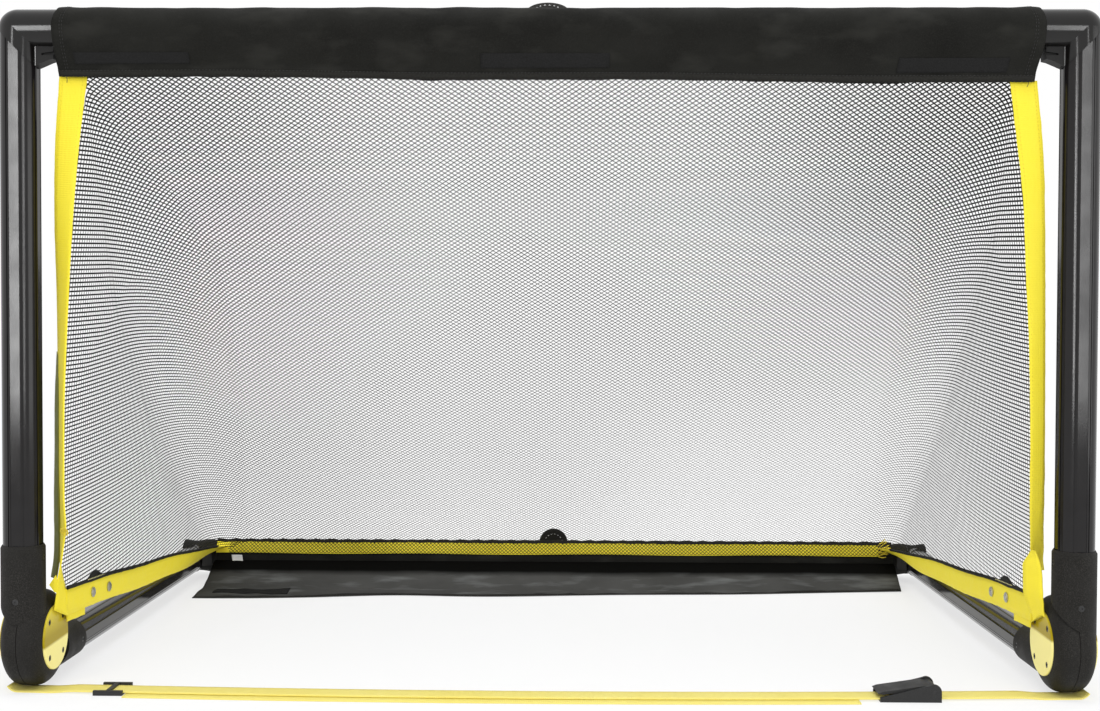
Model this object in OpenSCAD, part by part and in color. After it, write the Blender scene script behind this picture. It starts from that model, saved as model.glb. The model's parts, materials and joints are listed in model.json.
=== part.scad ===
// Folding lawn goal. Two equal U frames of channelled tube meet in a half-lap hinge at each
// front foot, so that the front frame folds back and down onto the base frame.
// A net, cloth sleeves, webbing bands and a cam-buckle ground strap hang on the frames.
// The front faces -Y, +X is to the right and +Z is up. All sizes are in millimetres.

/* [Goal] */
// Width over the hinge knuckles
goal_w = 1200; // [1000:10:1400]
// Height to the top of the crossbar sleeve
goal_h = 750; // [650:10:850]

/* [Frame tube] */
// Outer diameter of the tube
tube_d = 42; // [41:0.5:42]
// Wall between the bore and the outside
tube_wall = 2.4; // [2.2:0.1:2.8]
// Width of each flat channel along the tube
channel_w = 11; // [8:0.5:12]
// Depth of each flat channel at its middle
channel_depth = 1.2; // [0.9:0.1:1.4]

/* [Corner elbow] */
// Length of the elbow along the bar, from the post axis
elbow_reach = 49; // [45:1:60]
// Length of the spigots inside the tubes
spigot_len = 45; // [30:1:60]

/* [Hinge knuckle] */
// Radius of the round eye
eye_r = 53; // [52:0.5:55]
// Thickness of one eye, half of the knuckle
eye_t = 24; // [23.8:0.1:25]
// Rounding of the eye's outer edge, along its axis
eye_round = 17; // [15:0.5:18]
// Distance from the hinge axis to each tube axis
hinge_offset = 25; // [24.8:0.1:27]
// Outer radius of the tube socket
socket_r = 23.5; // [23.2:0.1:23.6]
// Length of the socket from the hinge axis
socket_len = 108; // [100:1:125]
// Radius of the hinge cap
cap_r = 36; // [33:0.5:37]
// Radius of the pivot bolt
bolt_r = 5; // [4:0.5:6]

/* [Cloth and webbing] */
// Outer radius of the cloth sleeves
sleeve_r = 23.5; // [23.4:0.1:23.8]
// Drop of the crossbar sleeve's hem below the bar axis
hem_drop = 58; // [50:1:70]
// Width of the upright side bands
band_w = 30; // [25:1:34]
// Reach of the ground flap's left corner in front of the rear bar axis
flap_reach = 188; // [150:1:220]
// Width of the ground strap
strap_w = 28; // [25:1:30]

/* [Net] */
// Columns of gaps in the back panel
net_cols = 10; // [8:1:10]
// Rows of gaps in the back panel
net_rows = 8; // [6:1:8]
// Share of each cell that the strands take
net_strand = 0.14; // [0.1:0.02:0.2]

/* [Hidden] */
$fn = 64;

// Frame layout
tube_r = tube_d / 2;
bore_r = tube_r - tube_wall;
post_x = goal_w / 2 - eye_t;
lap_in = 2;
hinge_x = post_x - lap_in;
foot_gap = 2.2;
hinge_z = eye_r + foot_gap;
bar_z = goal_h - sleeve_r;
frame_len = bar_z - hinge_z;
arm_z = hinge_z - hinge_offset;
bar_half = post_x - elbow_reach;

// Depth layout: the strap tail is foremost and the rear sleeve rearmost
strap_mid_front = 11;
tail_shift = 12;
front_reach = strap_mid_front + strap_w / 2 + tail_shift;
rear_sleeve_r = sleeve_r + 0.8;
rear_reach = hinge_offset + frame_len + rear_sleeve_r;
post_y = (front_reach - rear_reach) / 2;
hinge_y = post_y + hinge_offset;
rear_y = hinge_y + frame_len;

// Tube section
groove_w = 1.2;
groove_depth = 0.9;
groove_turn = 23;

// Elbow: a ball corner whose post leg ends on a 45 degree mitre
elbow_r = tube_r + 0.7;
spigot_r = bore_r - 0.1;
mitre_drop = 20.5;
mitre_gap = 0.4;
elbow_leg = 50;
spigot_drop = 95;
lug_depth = 18;
lug_slot = 3;
front_lug = 40;
base_lug = 34;
big = 160;

// Knuckle details
eye_crown = 25;
face_gap = 0.3;
scoop_gap = 0.8;
socket_depth = 48;
seat_gap = 0.05;
cap_t = 3.6;
cap_seat = 2.6;
cap_edge = 1.2;
cap_screws = 4;
cap_screw_ring = 28;
screw_r = 3.3;
screw_h = 1.8;
head_r = 9;
head_h = 5.4;
pocket_r = 13;
pocket_h = 7;
washer_r = 18;
washer_t = 1.8;
stop_ring = 30;
stop_r = 4;
stop_reach = 8;
fold_angle = 90;
side_screw_z = socket_len - 14;
front_screw_z = 48;

// Cloth
cloth_t = 1.4;
sleeve_half = post_x - 43;
hem_t = 4.4;
hem_h = 12;
hem_y = -6;
loop_r = 23;
loop_hole_r = 14;
loop_t = 2.6;
loop_y = 10;
flap_half = sleeve_half - 3;
flap_t = 1.8;
flap_middle = 0.85;
flap_right = 0.6;
flap_rise = 24;
flap_rise_len = 62;
patch_in = 36;
patch_out = 16;
rear_half = post_x - patch_in;
flap_back_half = rear_half - 2;
patch_foot = 13;
strip_len = 118;
strip_w = 34;
hem_band_t = 1.5;

// Webbing
web_t = 1.6;
tail_t = 1.5;
strap_z = 1.9;
strap_foot_front = 17;
strap_flat_half = hinge_x + eye_t - eye_round;
strap_bend_r = 14;
strap_turn = 56;
slider_x = -post_x + 98;
slider_len = 32;
slider_bar = 5;
slider_rail = 4;
slider_gap = 1.2;
tail_end_x = 0.59 * post_x;

// Cam buckle
buckle_x = 0.686 * post_x;
buckle_len = 66;
buckle_wall = 2.6;
buckle_gap = 2.2;
lever_gap = 0.5;
buckle_plate = 1.6;
pin_r = 2;
pin_back = 8;
pin_z = 11.5;
lever_len = 55;
lever_t = 3;
cam_r = 6;

// Net
net_t = 1.4;
net_top_z = bar_z - hem_drop - 2;
net_top_y = post_y + 6;
net_low_z = arm_z + rear_sleeve_r + 6;
net_low_y = rear_y - 16;
net_half = sleeve_half - 12;
side_net_x = sleeve_half - 6;
net_edge = 7;
side_cols = 7;
side_rows = 7;

tube_black = "#2a2a2c";
elbow_black = "#1c1c1e";
mould_black = "#313032";
cap_yellow = "#f2e05a";
web_yellow = "#f0e23a";
cloth_black = "#222222";
cloth_grey = "#4c4c4b";
net_black = "#3a3a3a";
steel = "#a8aaac";

// Places a part that is drawn about the hinge axis into the upright front frame
module to_front() {
  translate([0, hinge_y, hinge_z]) children();
}

// The base frame is the same frame turned half round about the line between back and up
module to_base() {
  translate([0, hinge_y, hinge_z]) rotate(180, [0, 1, 1]) children();
}

// Extrudes a (Y, Z) outline along X
module along_x(x0, x1) {
  translate([x0, 0, 0]) rotate([90, 0, 90]) linear_extrude(x1 - x0) children();
}

// Extrudes an (X, Z) outline along Y
module along_y(y0, y1) {
  translate([0, y1, 0]) rotate([90, 0, 0]) linear_extrude(y1 - y0) children();
}

// Round tube with four flat channels, each between two fine grooves
module tube_section() {
  difference() {
    circle(r = tube_r);
    circle(r = bore_r);
    for (turn = [0 : 90 : 270]) rotate(turn) {
      translate([-channel_w / 2, tube_r - channel_depth]) square([channel_w, tube_r]);
      for (side = [-1, 1]) rotate(side * groove_turn)
        translate([-groove_w / 2, tube_r - groove_depth]) square([groove_w, tube_r]);
    }
  }
}

// Half space over the mitre plane of a corner, in the post's own axis
module over_mitre(side, drop) {
  translate([0, 0, -drop]) rotate([0, -side * 45, 0])
    translate([-big / 2, -big / 2, 0]) cube(big);
}

module under_mitre(side, drop) {
  translate([0, 0, -drop]) rotate([0, -side * 45, 0])
    translate([-big / 2, -big / 2, -big]) cube(big);
}

// Post or arm: stands in its socket and ends on the corner mitre
module frame_post(side) {
  color(tube_black) translate([side * post_x, -hinge_offset, 0]) difference() {
    translate([0, 0, socket_len - socket_depth])
      linear_extrude(frame_len - socket_len + socket_depth) tube_section();
    translate([0, 0, frame_len]) over_mitre(side, mitre_drop + mitre_gap);
  }
}

module frame_bar() {
  color(tube_black) translate([0, -hinge_offset, frame_len])
    along_x(-bar_half + seat_gap, bar_half - seat_gap) tube_section();
}

// Ball corner with spigots into both tubes and a hooked lug inside the corner
module frame_elbow(side, lug_reach) {
  // Hook outline: towards the bar, and down from its axis
  lug = [[12, -16], [lug_reach, -16], [lug_reach, -33], [lug_reach - 6, -34.5], [19, -41], [12, -41]];
  slot = [[27, -27], [lug_reach + 1, -25], [lug_reach + 1, -29], [27, -29]];
  color(elbow_black) translate([side * post_x, -hinge_offset, frame_len]) {
    difference() {
      union() {
        sphere(r = elbow_r);
        rotate([0, -side * 90, 0]) cylinder(r = elbow_r, h = elbow_reach);
        translate([0, 0, -elbow_leg]) cylinder(r = elbow_r, h = elbow_leg);
        along_y(-lug_depth / 2, lug_depth / 2) polygon([for (p = lug) [-side * p[0], p[1]]]);
      }
      under_mitre(side, mitre_drop);
      along_y(-lug_depth / 2 - 1, lug_slot - lug_depth / 2)
        polygon([for (p = slot) [-side * p[0], p[1]]]);
    }
    rotate([0, -side * 90, 0]) cylinder(r = spigot_r, h = elbow_reach + spigot_len);
    translate([0, 0, -spigot_drop]) cylinder(r = spigot_r, h = spigot_drop);
  }
}

// Outline of one eye from its axis, with a rounded outer edge
module eye_outline(inner_face, grow) {
  flat = eye_t - eye_round;
  crown_in = eye_r - eye_crown;
  translate([0, inner_face]) square([eye_r + grow, flat - inner_face]);
  translate([0, inner_face]) square([crown_in, eye_t + grow - inner_face]);
  translate([crown_in, flat]) scale([eye_crown + grow, eye_round + grow]) circle(r = 1);
}

module eye(inner_face, grow) {
  rotate([0, 90, 0]) rotate_extrude() eye_outline(inner_face, grow);
}

module bore_x(r, x0, x1) {
  translate([x0, 0, 0]) rotate([0, 90, 0]) cylinder(r = r, h = x1 - x0);
}

// Curved track in which the stop pin of the other half travels
module stop_track() {
  half = stop_r + 0.6;
  depth = stop_reach + 0.6;
  rotate([0, 90, 0]) {
    rotate([0, 0, 90 - fold_angle / 2]) rotate_extrude(angle = fold_angle)
      translate([stop_ring - half, 0]) square([2 * half, depth]);
    for (end = [-1, 1]) rotate([0, 0, 90 + end * fold_angle / 2])
      translate([stop_ring, 0, 0]) cylinder(r = half, h = depth);
  }
}

// The pin stands half a fold to the front of the track's middle
module at_stop_pin() {
  turn = 90 + fold_angle / 2;
  translate([0, stop_ring * cos(turn), stop_ring * sin(turn)]) children();
}

module at_cap_screws() {
  for (k = [0 : cap_screws - 1]) rotate([45 + k * 360 / cap_screws, 0, 0])
    translate([0, 0, cap_screw_ring]) children();
}

// Side screws near the socket's mouth and one screw in front, below the tube's end
module at_socket_screws() {
  for (side = [-1, 1]) translate([side * socket_r, -hinge_offset, side_screw_z])
    rotate([0, side * 90, 0]) children();
  translate([0, -hinge_offset - socket_r, front_screw_z]) rotate([90, 0, 0]) children();
}

// Moulded half of the hinge: a tube socket that runs into a round eye on its +X side.
// On its -X side the socket is cut off round the eye of the other half.
module knuckle(side, is_arm) {
  color(mould_black) difference() {
    union() {
      translate([side * hinge_x, 0, 0]) eye(face_gap, 0);
      translate([side * post_x, -hinge_offset, 0]) rotate_extrude() polygon([[0, 0], [socket_r, 0],
        [socket_r, socket_len - 3], [socket_r - 1.6, socket_len], [0, socket_len]]);
    }
    translate([side * hinge_x, 0, 0]) {
      bore_x(eye_r + scoop_gap, -big, face_gap);
      bore_x(bolt_r + 0.06, 0, eye_t);
      bore_x(cap_r + 0.3, eye_t - cap_seat, eye_t + lap_in + 1);
      bore_x(pocket_r, eye_t - cap_seat - pocket_h, eye_t);
      bore_x(washer_r + 0.3, 0, washer_t / 2 + 0.3);
      if (is_arm) stop_track();
      if (!is_arm) at_stop_pin() bore_x(stop_r + 0.03, 0, stop_reach + 0.3);
    }
    translate([side * post_x, 0, 0]) {
      translate([0, -hinge_offset, socket_len - socket_depth - seat_gap])
        cylinder(r = tube_r + seat_gap, h = socket_depth + 1);
      at_socket_screws() translate([0, 0, -screw_h]) cylinder(r = screw_r + 0.2, h = screw_h + 2);
    }
  }
}

module socket_screws() {
  color(elbow_black) for (side = [-1, 1]) translate([side * post_x, 0, 0])
    at_socket_screws() translate([0, 0, -screw_h]) difference() {
      cylinder(r = screw_r, h = screw_h - 0.4);
      translate([0, 0, 0.6]) cylinder(r = 1.6, h = screw_h, $fn = 6);
    }
}

// Flat glossy disc over the end of the pivot bolt, with rounded rim and countersunk screws
module hinge_cap(side) {
  color(cap_yellow) translate([side * hinge_x + eye_t - cap_seat, 0, 0]) difference() {
    rotate([0, 90, 0]) rotate_extrude() {
      square([cap_r, cap_t - cap_edge]);
      square([cap_r - cap_edge, cap_t]);
      translate([cap_r - cap_edge, cap_t - cap_edge]) circle(r = cap_edge);
    }
    at_cap_screws() bore_x(screw_r + 0.2, cap_t - screw_h, cap_t + 1);
  }
}

module cap_screws(side) {
  color(elbow_black) translate([side * hinge_x + eye_t - cap_seat + cap_t - screw_h, 0, 0])
    at_cap_screws() difference() {
      bore_x(screw_r, 0, screw_h - 0.3);
      translate([0.6, 0, 0]) rotate([0, 90, 0]) cylinder(r = 1.6, h = screw_h, $fn = 6);
    }
}

// Bolt, nut and washer are drawn in the arm's place, with the head in the arm's eye
module pivot_bolt(side) {
  seat = eye_t - cap_seat - pocket_h + 0.1;
  color(steel) translate([side * hinge_x, 0, 0]) {
    bore_x(bolt_r, -seat - head_h - 0.6, seat + 1);
    translate([seat, 0, 0]) rotate([0, 90, 0]) cylinder(r = head_r, h = head_h, $fn = 6);
  }
}

module pivot_nut(side) {
  seat = eye_t - cap_seat - pocket_h + 0.3;
  color(steel) translate([side * hinge_x - seat - head_h, 0, 0]) difference() {
    rotate([0, 90, 0]) cylinder(r = head_r, h = head_h, $fn = 6);
    bore_x(bolt_r + 0.02, -1, head_h + 1);
  }
}

module thrust_washer(side) {
  color(steel) translate([side * hinge_x, 0, 0]) difference() {
    bore_x(washer_r, -washer_t / 2, washer_t / 2);
    bore_x(bolt_r + 0.05, -washer_t, washer_t);
  }
}

// Cloth tube over the crossbar whose two layers hang down into a stitched hem
module crossbar_sleeve() {
  inner = sleeve_r - cloth_t;
  half = hem_t / 2;
  color(cloth_black) translate([0, post_y, bar_z]) along_x(-sleeve_half, sleeve_half) difference() {
    union() {
      circle(r = sleeve_r);
      polygon([[-sleeve_r, 0], [hem_y - half, -hem_drop], [hem_y + half, -hem_drop], [sleeve_r, 0]]);
    }
    circle(r = inner);
    polygon([[-inner, 0], [hem_y - 0.5, hem_h - hem_drop], [hem_y + 0.5, hem_h - hem_drop], [inner, 0]]);
  }
}

// Half-round webbing grip that stands on the sleeve at the middle of a bar
module carry_loop(bar_y, axis_z, radius) {
  foot_z = sqrt(pow(radius + 0.1, 2) - pow(loop_y, 2));
  color(cloth_black) translate([0, bar_y, axis_z]) along_y(loop_y, loop_y + loop_t) difference() {
    union() {
      translate([0, foot_z + 4]) circle(r = loop_r);
      translate([-loop_r, foot_z]) square([2 * loop_r, 4]);
    }
    translate([-big, foot_z - big]) square([2 * big, big]);
    translate([0, foot_z + 4]) circle(r = loop_hole_r);
    translate([-loop_hole_r, foot_z + 2]) square([2 * loop_hole_r, 3]);
  }
}

// Cloth shell over the top and back of the rear bar, down to the ground
module rear_sleeve() {
  inner = rear_sleeve_r - cloth_t;
  color(cloth_black) translate([0, rear_y, arm_z]) along_x(-rear_half, rear_half) {
    difference() {
      circle(r = rear_sleeve_r);
      circle(r = inner);
      polygon([[0, 0], [-big, big * 0.25], [-big, -big], [big, -big], [big, 0]]);
    }
    translate([inner, -arm_z]) square([cloth_t, arm_z]);
  }
}

// Coated flap that hangs from the front of the bar and lies open on the ground.
// Its front edge runs back from the left corner to the right one.
module rear_flap() {
  back = rear_sleeve_r - cloth_t;
  fold = back + flap_rise_len;
  color(cloth_grey) translate([0, rear_y, 0]) intersection() {
    linear_extrude(arm_z) polygon([[-flap_back_half, 0], [-flap_half, -flap_reach],
      [0, -flap_middle * flap_reach], [flap_half, -flap_right * flap_reach], [flap_back_half, 0]]);
    along_x(-post_x, post_x) polygon([[-flap_reach - 1, 0], [-fold, 0], [-fold / 2 - back / 2, 4],
      [-back, flap_rise], [-back, flap_rise + flap_t], [-fold / 2 - back / 2, 4 + flap_t],
      [-fold, flap_t], [-flap_reach - 1, flap_t]]);
  }
}

module flap_hook_strip() {
  color(elbow_black) translate([-flap_half + 10, rear_y - flap_reach + 40, flap_t])
    cube([strip_len, strip_w, 1]);
}

// Cloth patch round each rear corner, cut away for the arm
module corner_patch(side) {
  inner = rear_sleeve_r - cloth_t;
  x0 = rear_half + 0.4;
  x1 = post_x + patch_out;
  color(cloth_black) mirror([side < 0 ? 1 : 0, 0, 0]) difference() {
    translate([0, rear_y, arm_z]) along_x(x0, x1) difference() {
      union() {
        circle(r = rear_sleeve_r);
        polygon([[-rear_sleeve_r, 0], [-patch_foot, -arm_z],
          [patch_foot, -arm_z], [rear_sleeve_r, 0]]);
      }
      circle(r = inner);
      polygon([[-inner, 0], [-patch_foot + 1, cloth_t - arm_z],
        [patch_foot - 1, cloth_t - arm_z], [inner, 0]]);
    }
    translate([post_x, rear_y - big, arm_z]) rotate([-90, 0, 0]) cylinder(r = elbow_r + 0.4, h = big);
    translate([post_x - base_lug - 0.4, rear_y - big, arm_z - lug_depth / 2 - 0.4])
      cube([base_lug, big, lug_depth + 0.8]);
  }
}

// Webbing that runs along the upper front of the rear sleeve
module rear_hem_band() {
  color(web_yellow) translate([0, rear_y, arm_z]) along_x(-rear_half, rear_half) difference() {
    circle(r = rear_sleeve_r + 0.1 + hem_band_t);
    circle(r = rear_sleeve_r + 0.1);
    polygon([[0, 0], [-big, big * 0.3], [-big, -big], [big, -big], [big, big], [-big * 0.28, big]]);
  }
}

// Flat band swept along a line of points; "across" gives the direction of its width at each
module ribbon(points, across, width, thick) {
  count = len(points);
  tangents = [for (i = [0 : count - 1]) points[min(i + 1, count - 1)] - points[max(i - 1, 0)]];
  corners = [[-1, -1], [1, -1], [1, 1], [-1, 1]];
  verts = [for (i = [0 : count - 1]) let (n = cross(tangents[i], across[i]), flat = n / norm(n))
    for (c = corners) points[i] + across[i] * c[0] * width / 2 + flat * c[1] * thick / 2];
  sides = [for (i = [0 : count - 2]) for (k = [0 : 3]) let (a = 4 * i + k, b = 4 * i + (k + 1) % 4)
    each [[a, b, b + 4], [a, b + 4, a + 4]]];
  last = 4 * (count - 1);
  ends = [[0, 3, 2], [0, 2, 1], [last, last + 1, last + 2], [last, last + 2, last + 3]];
  polyhedron(points = verts, faces = concat(sides, ends), convexity = 4);
}

function smooth(t) = t * t * (3 - 2 * t);
function mix(a, b, t) = a + (b - a) * t;

// Upright side band: faces forward under the sleeve and turns inward down to the hinge cap
side_band_rings = 24;
side_band_top = [sleeve_half - 17, post_y - 4, bar_z - hem_drop - 0.3];
side_band_foot = [hinge_x - eye_t - 9, hinge_y - 3, hinge_z + cap_r + 4];
side_band_turn = 64;
module side_band(side) {
  steps = [for (i = [0 : side_band_rings]) i / side_band_rings];
  line = [for (t = steps) [mix(side_band_top[0], side_band_foot[0], smooth(t)),
    mix(side_band_top[1], side_band_foot[1], smooth(t)), mix(side_band_top[2], side_band_foot[2], t)]];
  color(web_yellow) mirror([side < 0 ? 1 : 0, 0, 0])
    ribbon(line, [for (t = steps) let (turn = side_band_turn * smooth(t)) [cos(turn), sin(turn), 0]],
      band_w, web_t);
}

// Floor band: stands on edge behind the hinge cap and turns flat at the rear corner
floor_band_rings = 20;
floor_band_front = [post_x - 33, hinge_y + 20, arm_z + 62];
floor_band_rear = [post_x - 45, rear_y - 32, arm_z + 18];
floor_band_turn = 70;
function floor_band_at(t) = [mix(floor_band_front[0], floor_band_rear[0], t),
  mix(floor_band_front[1], floor_band_rear[1], t), mix(floor_band_front[2], floor_band_rear[2], t)];
module floor_band(side) {
  steps = [for (i = [0 : floor_band_rings]) i / floor_band_rings];
  color(web_yellow) mirror([side < 0 ? 1 : 0, 0, 0])
    ribbon([for (t = steps) floor_band_at(t)],
      [for (t = steps) let (turn = floor_band_turn * pow(t, 3)) [-sin(turn), 0, cos(turn)]],
      band_w, web_t);
}

// Press studs on the inner face of the floor bands
snap_places = [0.118, 0.204];
snap_r = 6;
snap_h = 2;
module band_snaps() {
  color(steel) for (side = [-1, 1]) for (t = snap_places) let (p = floor_band_at(t))
    translate([side * p[0], p[1], p[2]]) rotate([0, -side * 90, 0]) translate([0, 0, web_t / 2 + 0.35])
      rotate_extrude() {
        square([snap_r, snap_h / 2]);
        square([0.75 * snap_r, snap_h]);
      }
}

// Strap line on the ground: bows forward between the feet and rises over its own tail
function strap_y(x) = hinge_y - mix(strap_foot_front, hinge_offset + strap_mid_front,
  1 - pow(x / strap_flat_half, 2));
function strap_lift(x) = strap_z * smooth(min(1, max(0, (post_x - 30 - abs(x)) / 30)));
strap_rings = 48;
module ground_strap() {
  color(web_yellow) ribbon(
    [for (i = [0 : strap_rings]) let (x = mix(-strap_flat_half, strap_flat_half, i / strap_rings))
      [x, strap_y(x), web_t / 2 + strap_lift(x)]],
    [for (i = [0 : strap_rings]) [0, 1, 0]], strap_w, web_t);
}

// Each end of the strap turns up round the outside of its knuckle
strap_end_rings = 8;
module strap_end(side) {
  line = [for (i = [0 : strap_end_rings]) let (turn = strap_turn * i / strap_end_rings)
    [strap_flat_half + 0.1 + strap_bend_r * sin(turn), hinge_y - strap_foot_front,
     web_t / 2 + strap_bend_r * (1 - cos(turn))]];
  color(web_yellow) mirror([side < 0 ? 1 : 0, 0, 0])
    ribbon(line, [for (p = line) [0, 1, 0]], strap_w, web_t);
}

// Loose tail under the strap, set a little to the front, from the slider to the buckle
tail_rings = 32;
module strap_tail() {
  x0 = slider_x + slider_len / 2 + 2;
  color(web_yellow) ribbon(
    [for (i = [0 : tail_rings]) let (x = mix(x0, tail_end_x, i / tail_rings))
      [x, strap_y(x) - tail_shift, tail_t / 2]],
    [for (i = [0 : tail_rings]) [0, 1, 0]], strap_w, tail_t);
}

// Three-bar slider: the strap runs over the outer bars and under the middle one
module strap_slider() {
  rail_y = strap_w / 2 + slider_gap;
  top = strap_z + web_t + 0.4;
  color(mould_black) translate([slider_x, strap_y(slider_x), 0]) {
    for (side = [-1, 1]) {
      translate([-slider_len / 2, side * (rail_y + slider_rail / 2) - slider_rail / 2, 0.2])
        cube([slider_len, slider_rail, top + 1.4]);
      translate([side * (slider_len - slider_bar) / 2 - slider_bar / 2, -rail_y - 1, 0.2])
        cube([slider_bar, 2 * rail_y + 2, 1.4]);
    }
    translate([-slider_bar / 2, -rail_y - 1, top]) cube([slider_bar, 2 * rail_y + 2, 1.8]);
  }
}

// Cam buckle channel: side walls rise to the pivot at the outer end
module buckle_frame() {
  inner_y = strap_w / 2 + buckle_gap;
  end_x = buckle_len / 2;
  eye_x = end_x - pin_back;
  color(mould_black) translate([buckle_x, strap_y(buckle_x), 0]) difference() {
    union() {
      translate([-end_x, -inner_y - buckle_wall, 0])
        cube([buckle_len, 2 * (inner_y + buckle_wall), buckle_plate]);
      for (side = [-1, 1]) translate([0, side * (inner_y + buckle_wall / 2), 0])
        along_y(-buckle_wall / 2, buckle_wall / 2) {
          translate([eye_x, pin_z]) circle(r = pin_back);
          polygon([[-end_x, 0], [end_x, 0], [end_x, pin_z], [eye_x, pin_z + pin_back],
            [eye_x - 6, pin_z + 6.4], [-end_x + 8, 7], [-end_x, 5]]);
        }
    }
    translate([eye_x, 0, pin_z]) rotate([90, 0, 0])
      cylinder(r = pin_r + 0.02, h = 3 * strap_w, center = true);
  }
}

module buckle_pin() {
  half = strap_w / 2 + buckle_gap + buckle_wall - 0.2;
  color(steel) translate([buckle_x + buckle_len / 2 - pin_back, strap_y(buckle_x), pin_z])
    rotate([90, 0, 0]) cylinder(r = pin_r, h = 2 * half, center = true);
}

// Lever: a round cam on the pin, a toothed nose over the strap and a long thumb plate
module cam_lever() {
  half = strap_w / 2 + buckle_gap - lever_gap;
  nose = pin_z - strap_z - web_t - 0.6;
  color(mould_black) translate([buckle_x + buckle_len / 2 - pin_back, strap_y(buckle_x), pin_z])
    difference() {
      union() {
        rotate([90, 0, 0]) cylinder(r = cam_r, h = 2 * half, center = true);
        along_y(-half, half) polygon([[0, cam_r - 1], [-8, cam_r], [-lever_len, lever_t - 4],
          [-lever_len - 5, -3], [-lever_len, -4], [-9, 1], [-4, -nose + 2], [-2, -nose],
          [-1, -nose + 1.5], [1, -nose], [2, -cam_r + 1]]);
      }
      rotate([90, 0, 0]) cylinder(r = pin_r + 0.06, h = 3 * strap_w, center = true);
    }
}

// Net panels: thin sheets pierced by staggered diamond gaps
module diamond(w, h) {
  polygon([[-w / 2, 0], [0, -h / 2], [w / 2, 0], [0, h / 2]]);
}

// Centres of a staggered grid that covers a rectangle up to its edges
function cell_centres(w, h, cols, rows) = let (pw = w / cols, ph = h / rows) concat(
  [for (i = [0 : cols - 1]) for (j = [0 : rows - 1]) [(i + 0.5) * pw, (j + 0.5) * ph]],
  [for (i = [0 : cols]) for (j = [0 : rows]) [i * pw, j * ph]]);

module net_back() {
  slope = [net_low_y - net_top_y, net_low_z - net_top_z];
  fall = norm(slope);
  pw = 2 * net_half / net_cols;
  ph = fall / net_rows;
  open = 1 - net_strand;
  color(net_black) translate([0, net_top_y, net_top_z]) rotate([atan2(slope[1], slope[0]), 0, 0])
    linear_extrude(net_t) difference() {
      translate([-net_half, 0]) square([2 * net_half, fall]);
      intersection() {
        translate([net_edge - net_half, net_edge])
          square([2 * (net_half - net_edge), fall - 2 * net_edge]);
        for (c = cell_centres(2 * net_half, fall, net_cols, net_rows))
          translate([c[0] - net_half, c[1]]) diamond(pw * open, ph * open);
      }
    }
}

// Triangle drawn in towards its inscribed circle by a margin
function drawn_in(a, b, c, margin) = let (
  sides = [norm(b - c), norm(c - a), norm(a - b)],
  round_it = sides[0] + sides[1] + sides[2],
  centre = (a * sides[0] + b * sides[1] + c * sides[2]) / round_it,
  reach = abs(cross(b - a, c - a)) / round_it,
  keep = 1 - margin / reach) [for (p = [a, b, c]) centre + (p - centre) * keep];

// Side panel: a triangle between the upright band, the floor band and the back panel
module net_side(side) {
  foot = [hinge_y + 18, hinge_z + 52];
  heel = [net_low_y - 24, net_low_z + 12];
  head = [net_top_y + 12, net_top_z - 24];
  width = heel[0] - head[0];
  height = head[1] - heel[1];
  open = 1 - net_strand;
  color(net_black) along_x(side * side_net_x - net_t / 2, side * side_net_x + net_t / 2) difference() {
    polygon([head, foot, heel]);
    intersection() {
      polygon(drawn_in(head, foot, heel, net_edge));
      for (c = cell_centres(width, height, side_cols, side_rows))
        translate([head[0] + c[0], heel[1] + c[1]])
          diamond(width / side_cols * open, height / side_rows * open);
    }
  }
}

to_front() frame_post(-1);  // left_post
to_front() frame_post(1);  // right_post
to_front() frame_bar();  // crossbar
to_front() frame_elbow(-1, front_lug);  // left_top_elbow
to_front() frame_elbow(1, front_lug);  // right_top_elbow
to_front() knuckle(-1, false);  // left_post_knuckle
to_front() knuckle(1, false);  // right_post_knuckle
to_front() socket_screws();  // front_socket_screws
to_front() hinge_cap(-1);  // left_hinge_cap
to_front() hinge_cap(1);  // right_outer_cap
to_front() {  // front_cap_screws
  cap_screws(-1);
  cap_screws(1);
}
to_front() color(steel) for (side = [-1, 1])  // stop_pins
  translate([side * hinge_x, 0, 0]) at_stop_pin() bore_x(stop_r, -stop_reach, stop_reach);
crossbar_sleeve();
carry_loop(post_y, bar_z, sleeve_r);  // crossbar_loop
side_band(-1);  // left_side_band
side_band(1);  // right_side_band
to_base() frame_post(1);  // left_arm
to_base() frame_post(-1);  // right_arm
to_base() frame_bar();  // rear_bar
to_base() frame_elbow(1, base_lug);  // left_rear_elbow
to_base() frame_elbow(-1, base_lug);  // right_rear_elbow
to_base() knuckle(1, true);  // left_arm_knuckle
to_base() knuckle(-1, true);  // right_arm_knuckle
to_base() socket_screws();  // base_socket_screws
to_base() hinge_cap(-1);  // right_hinge_cap
to_base() hinge_cap(1);  // left_outer_cap
to_base() {  // base_cap_screws
  cap_screws(-1);
  cap_screws(1);
}
to_base() pivot_bolt(1);  // left_pivot_bolt
to_base() pivot_bolt(-1);  // right_pivot_bolt
to_base() {  // pivot_nuts
  pivot_nut(-1);
  pivot_nut(1);
}
to_base() {  // thrust_washers
  thrust_washer(-1);
  thrust_washer(1);
}
rear_sleeve();
rear_flap();
flap_hook_strip();
corner_patch(-1);  // left_corner_patch
corner_patch(1);  // right_corner_patch
carry_loop(rear_y, arm_z, rear_sleeve_r);  // rear_loop
rear_hem_band();
floor_band(-1);  // left_floor_band
floor_band(1);  // right_floor_band
band_snaps();
ground_strap();
strap_end(-1);  // left_strap_end
strap_end(1);  // right_strap_end
strap_tail();
strap_slider();
buckle_frame();
buckle_pin();
cam_lever();
net_back();
net_side(-1);  // net_left
net_side(1);  // net_right
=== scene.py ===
import json
import math

import bpy
import numpy as np
from mathutils import Matrix, Vector, noise


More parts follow.
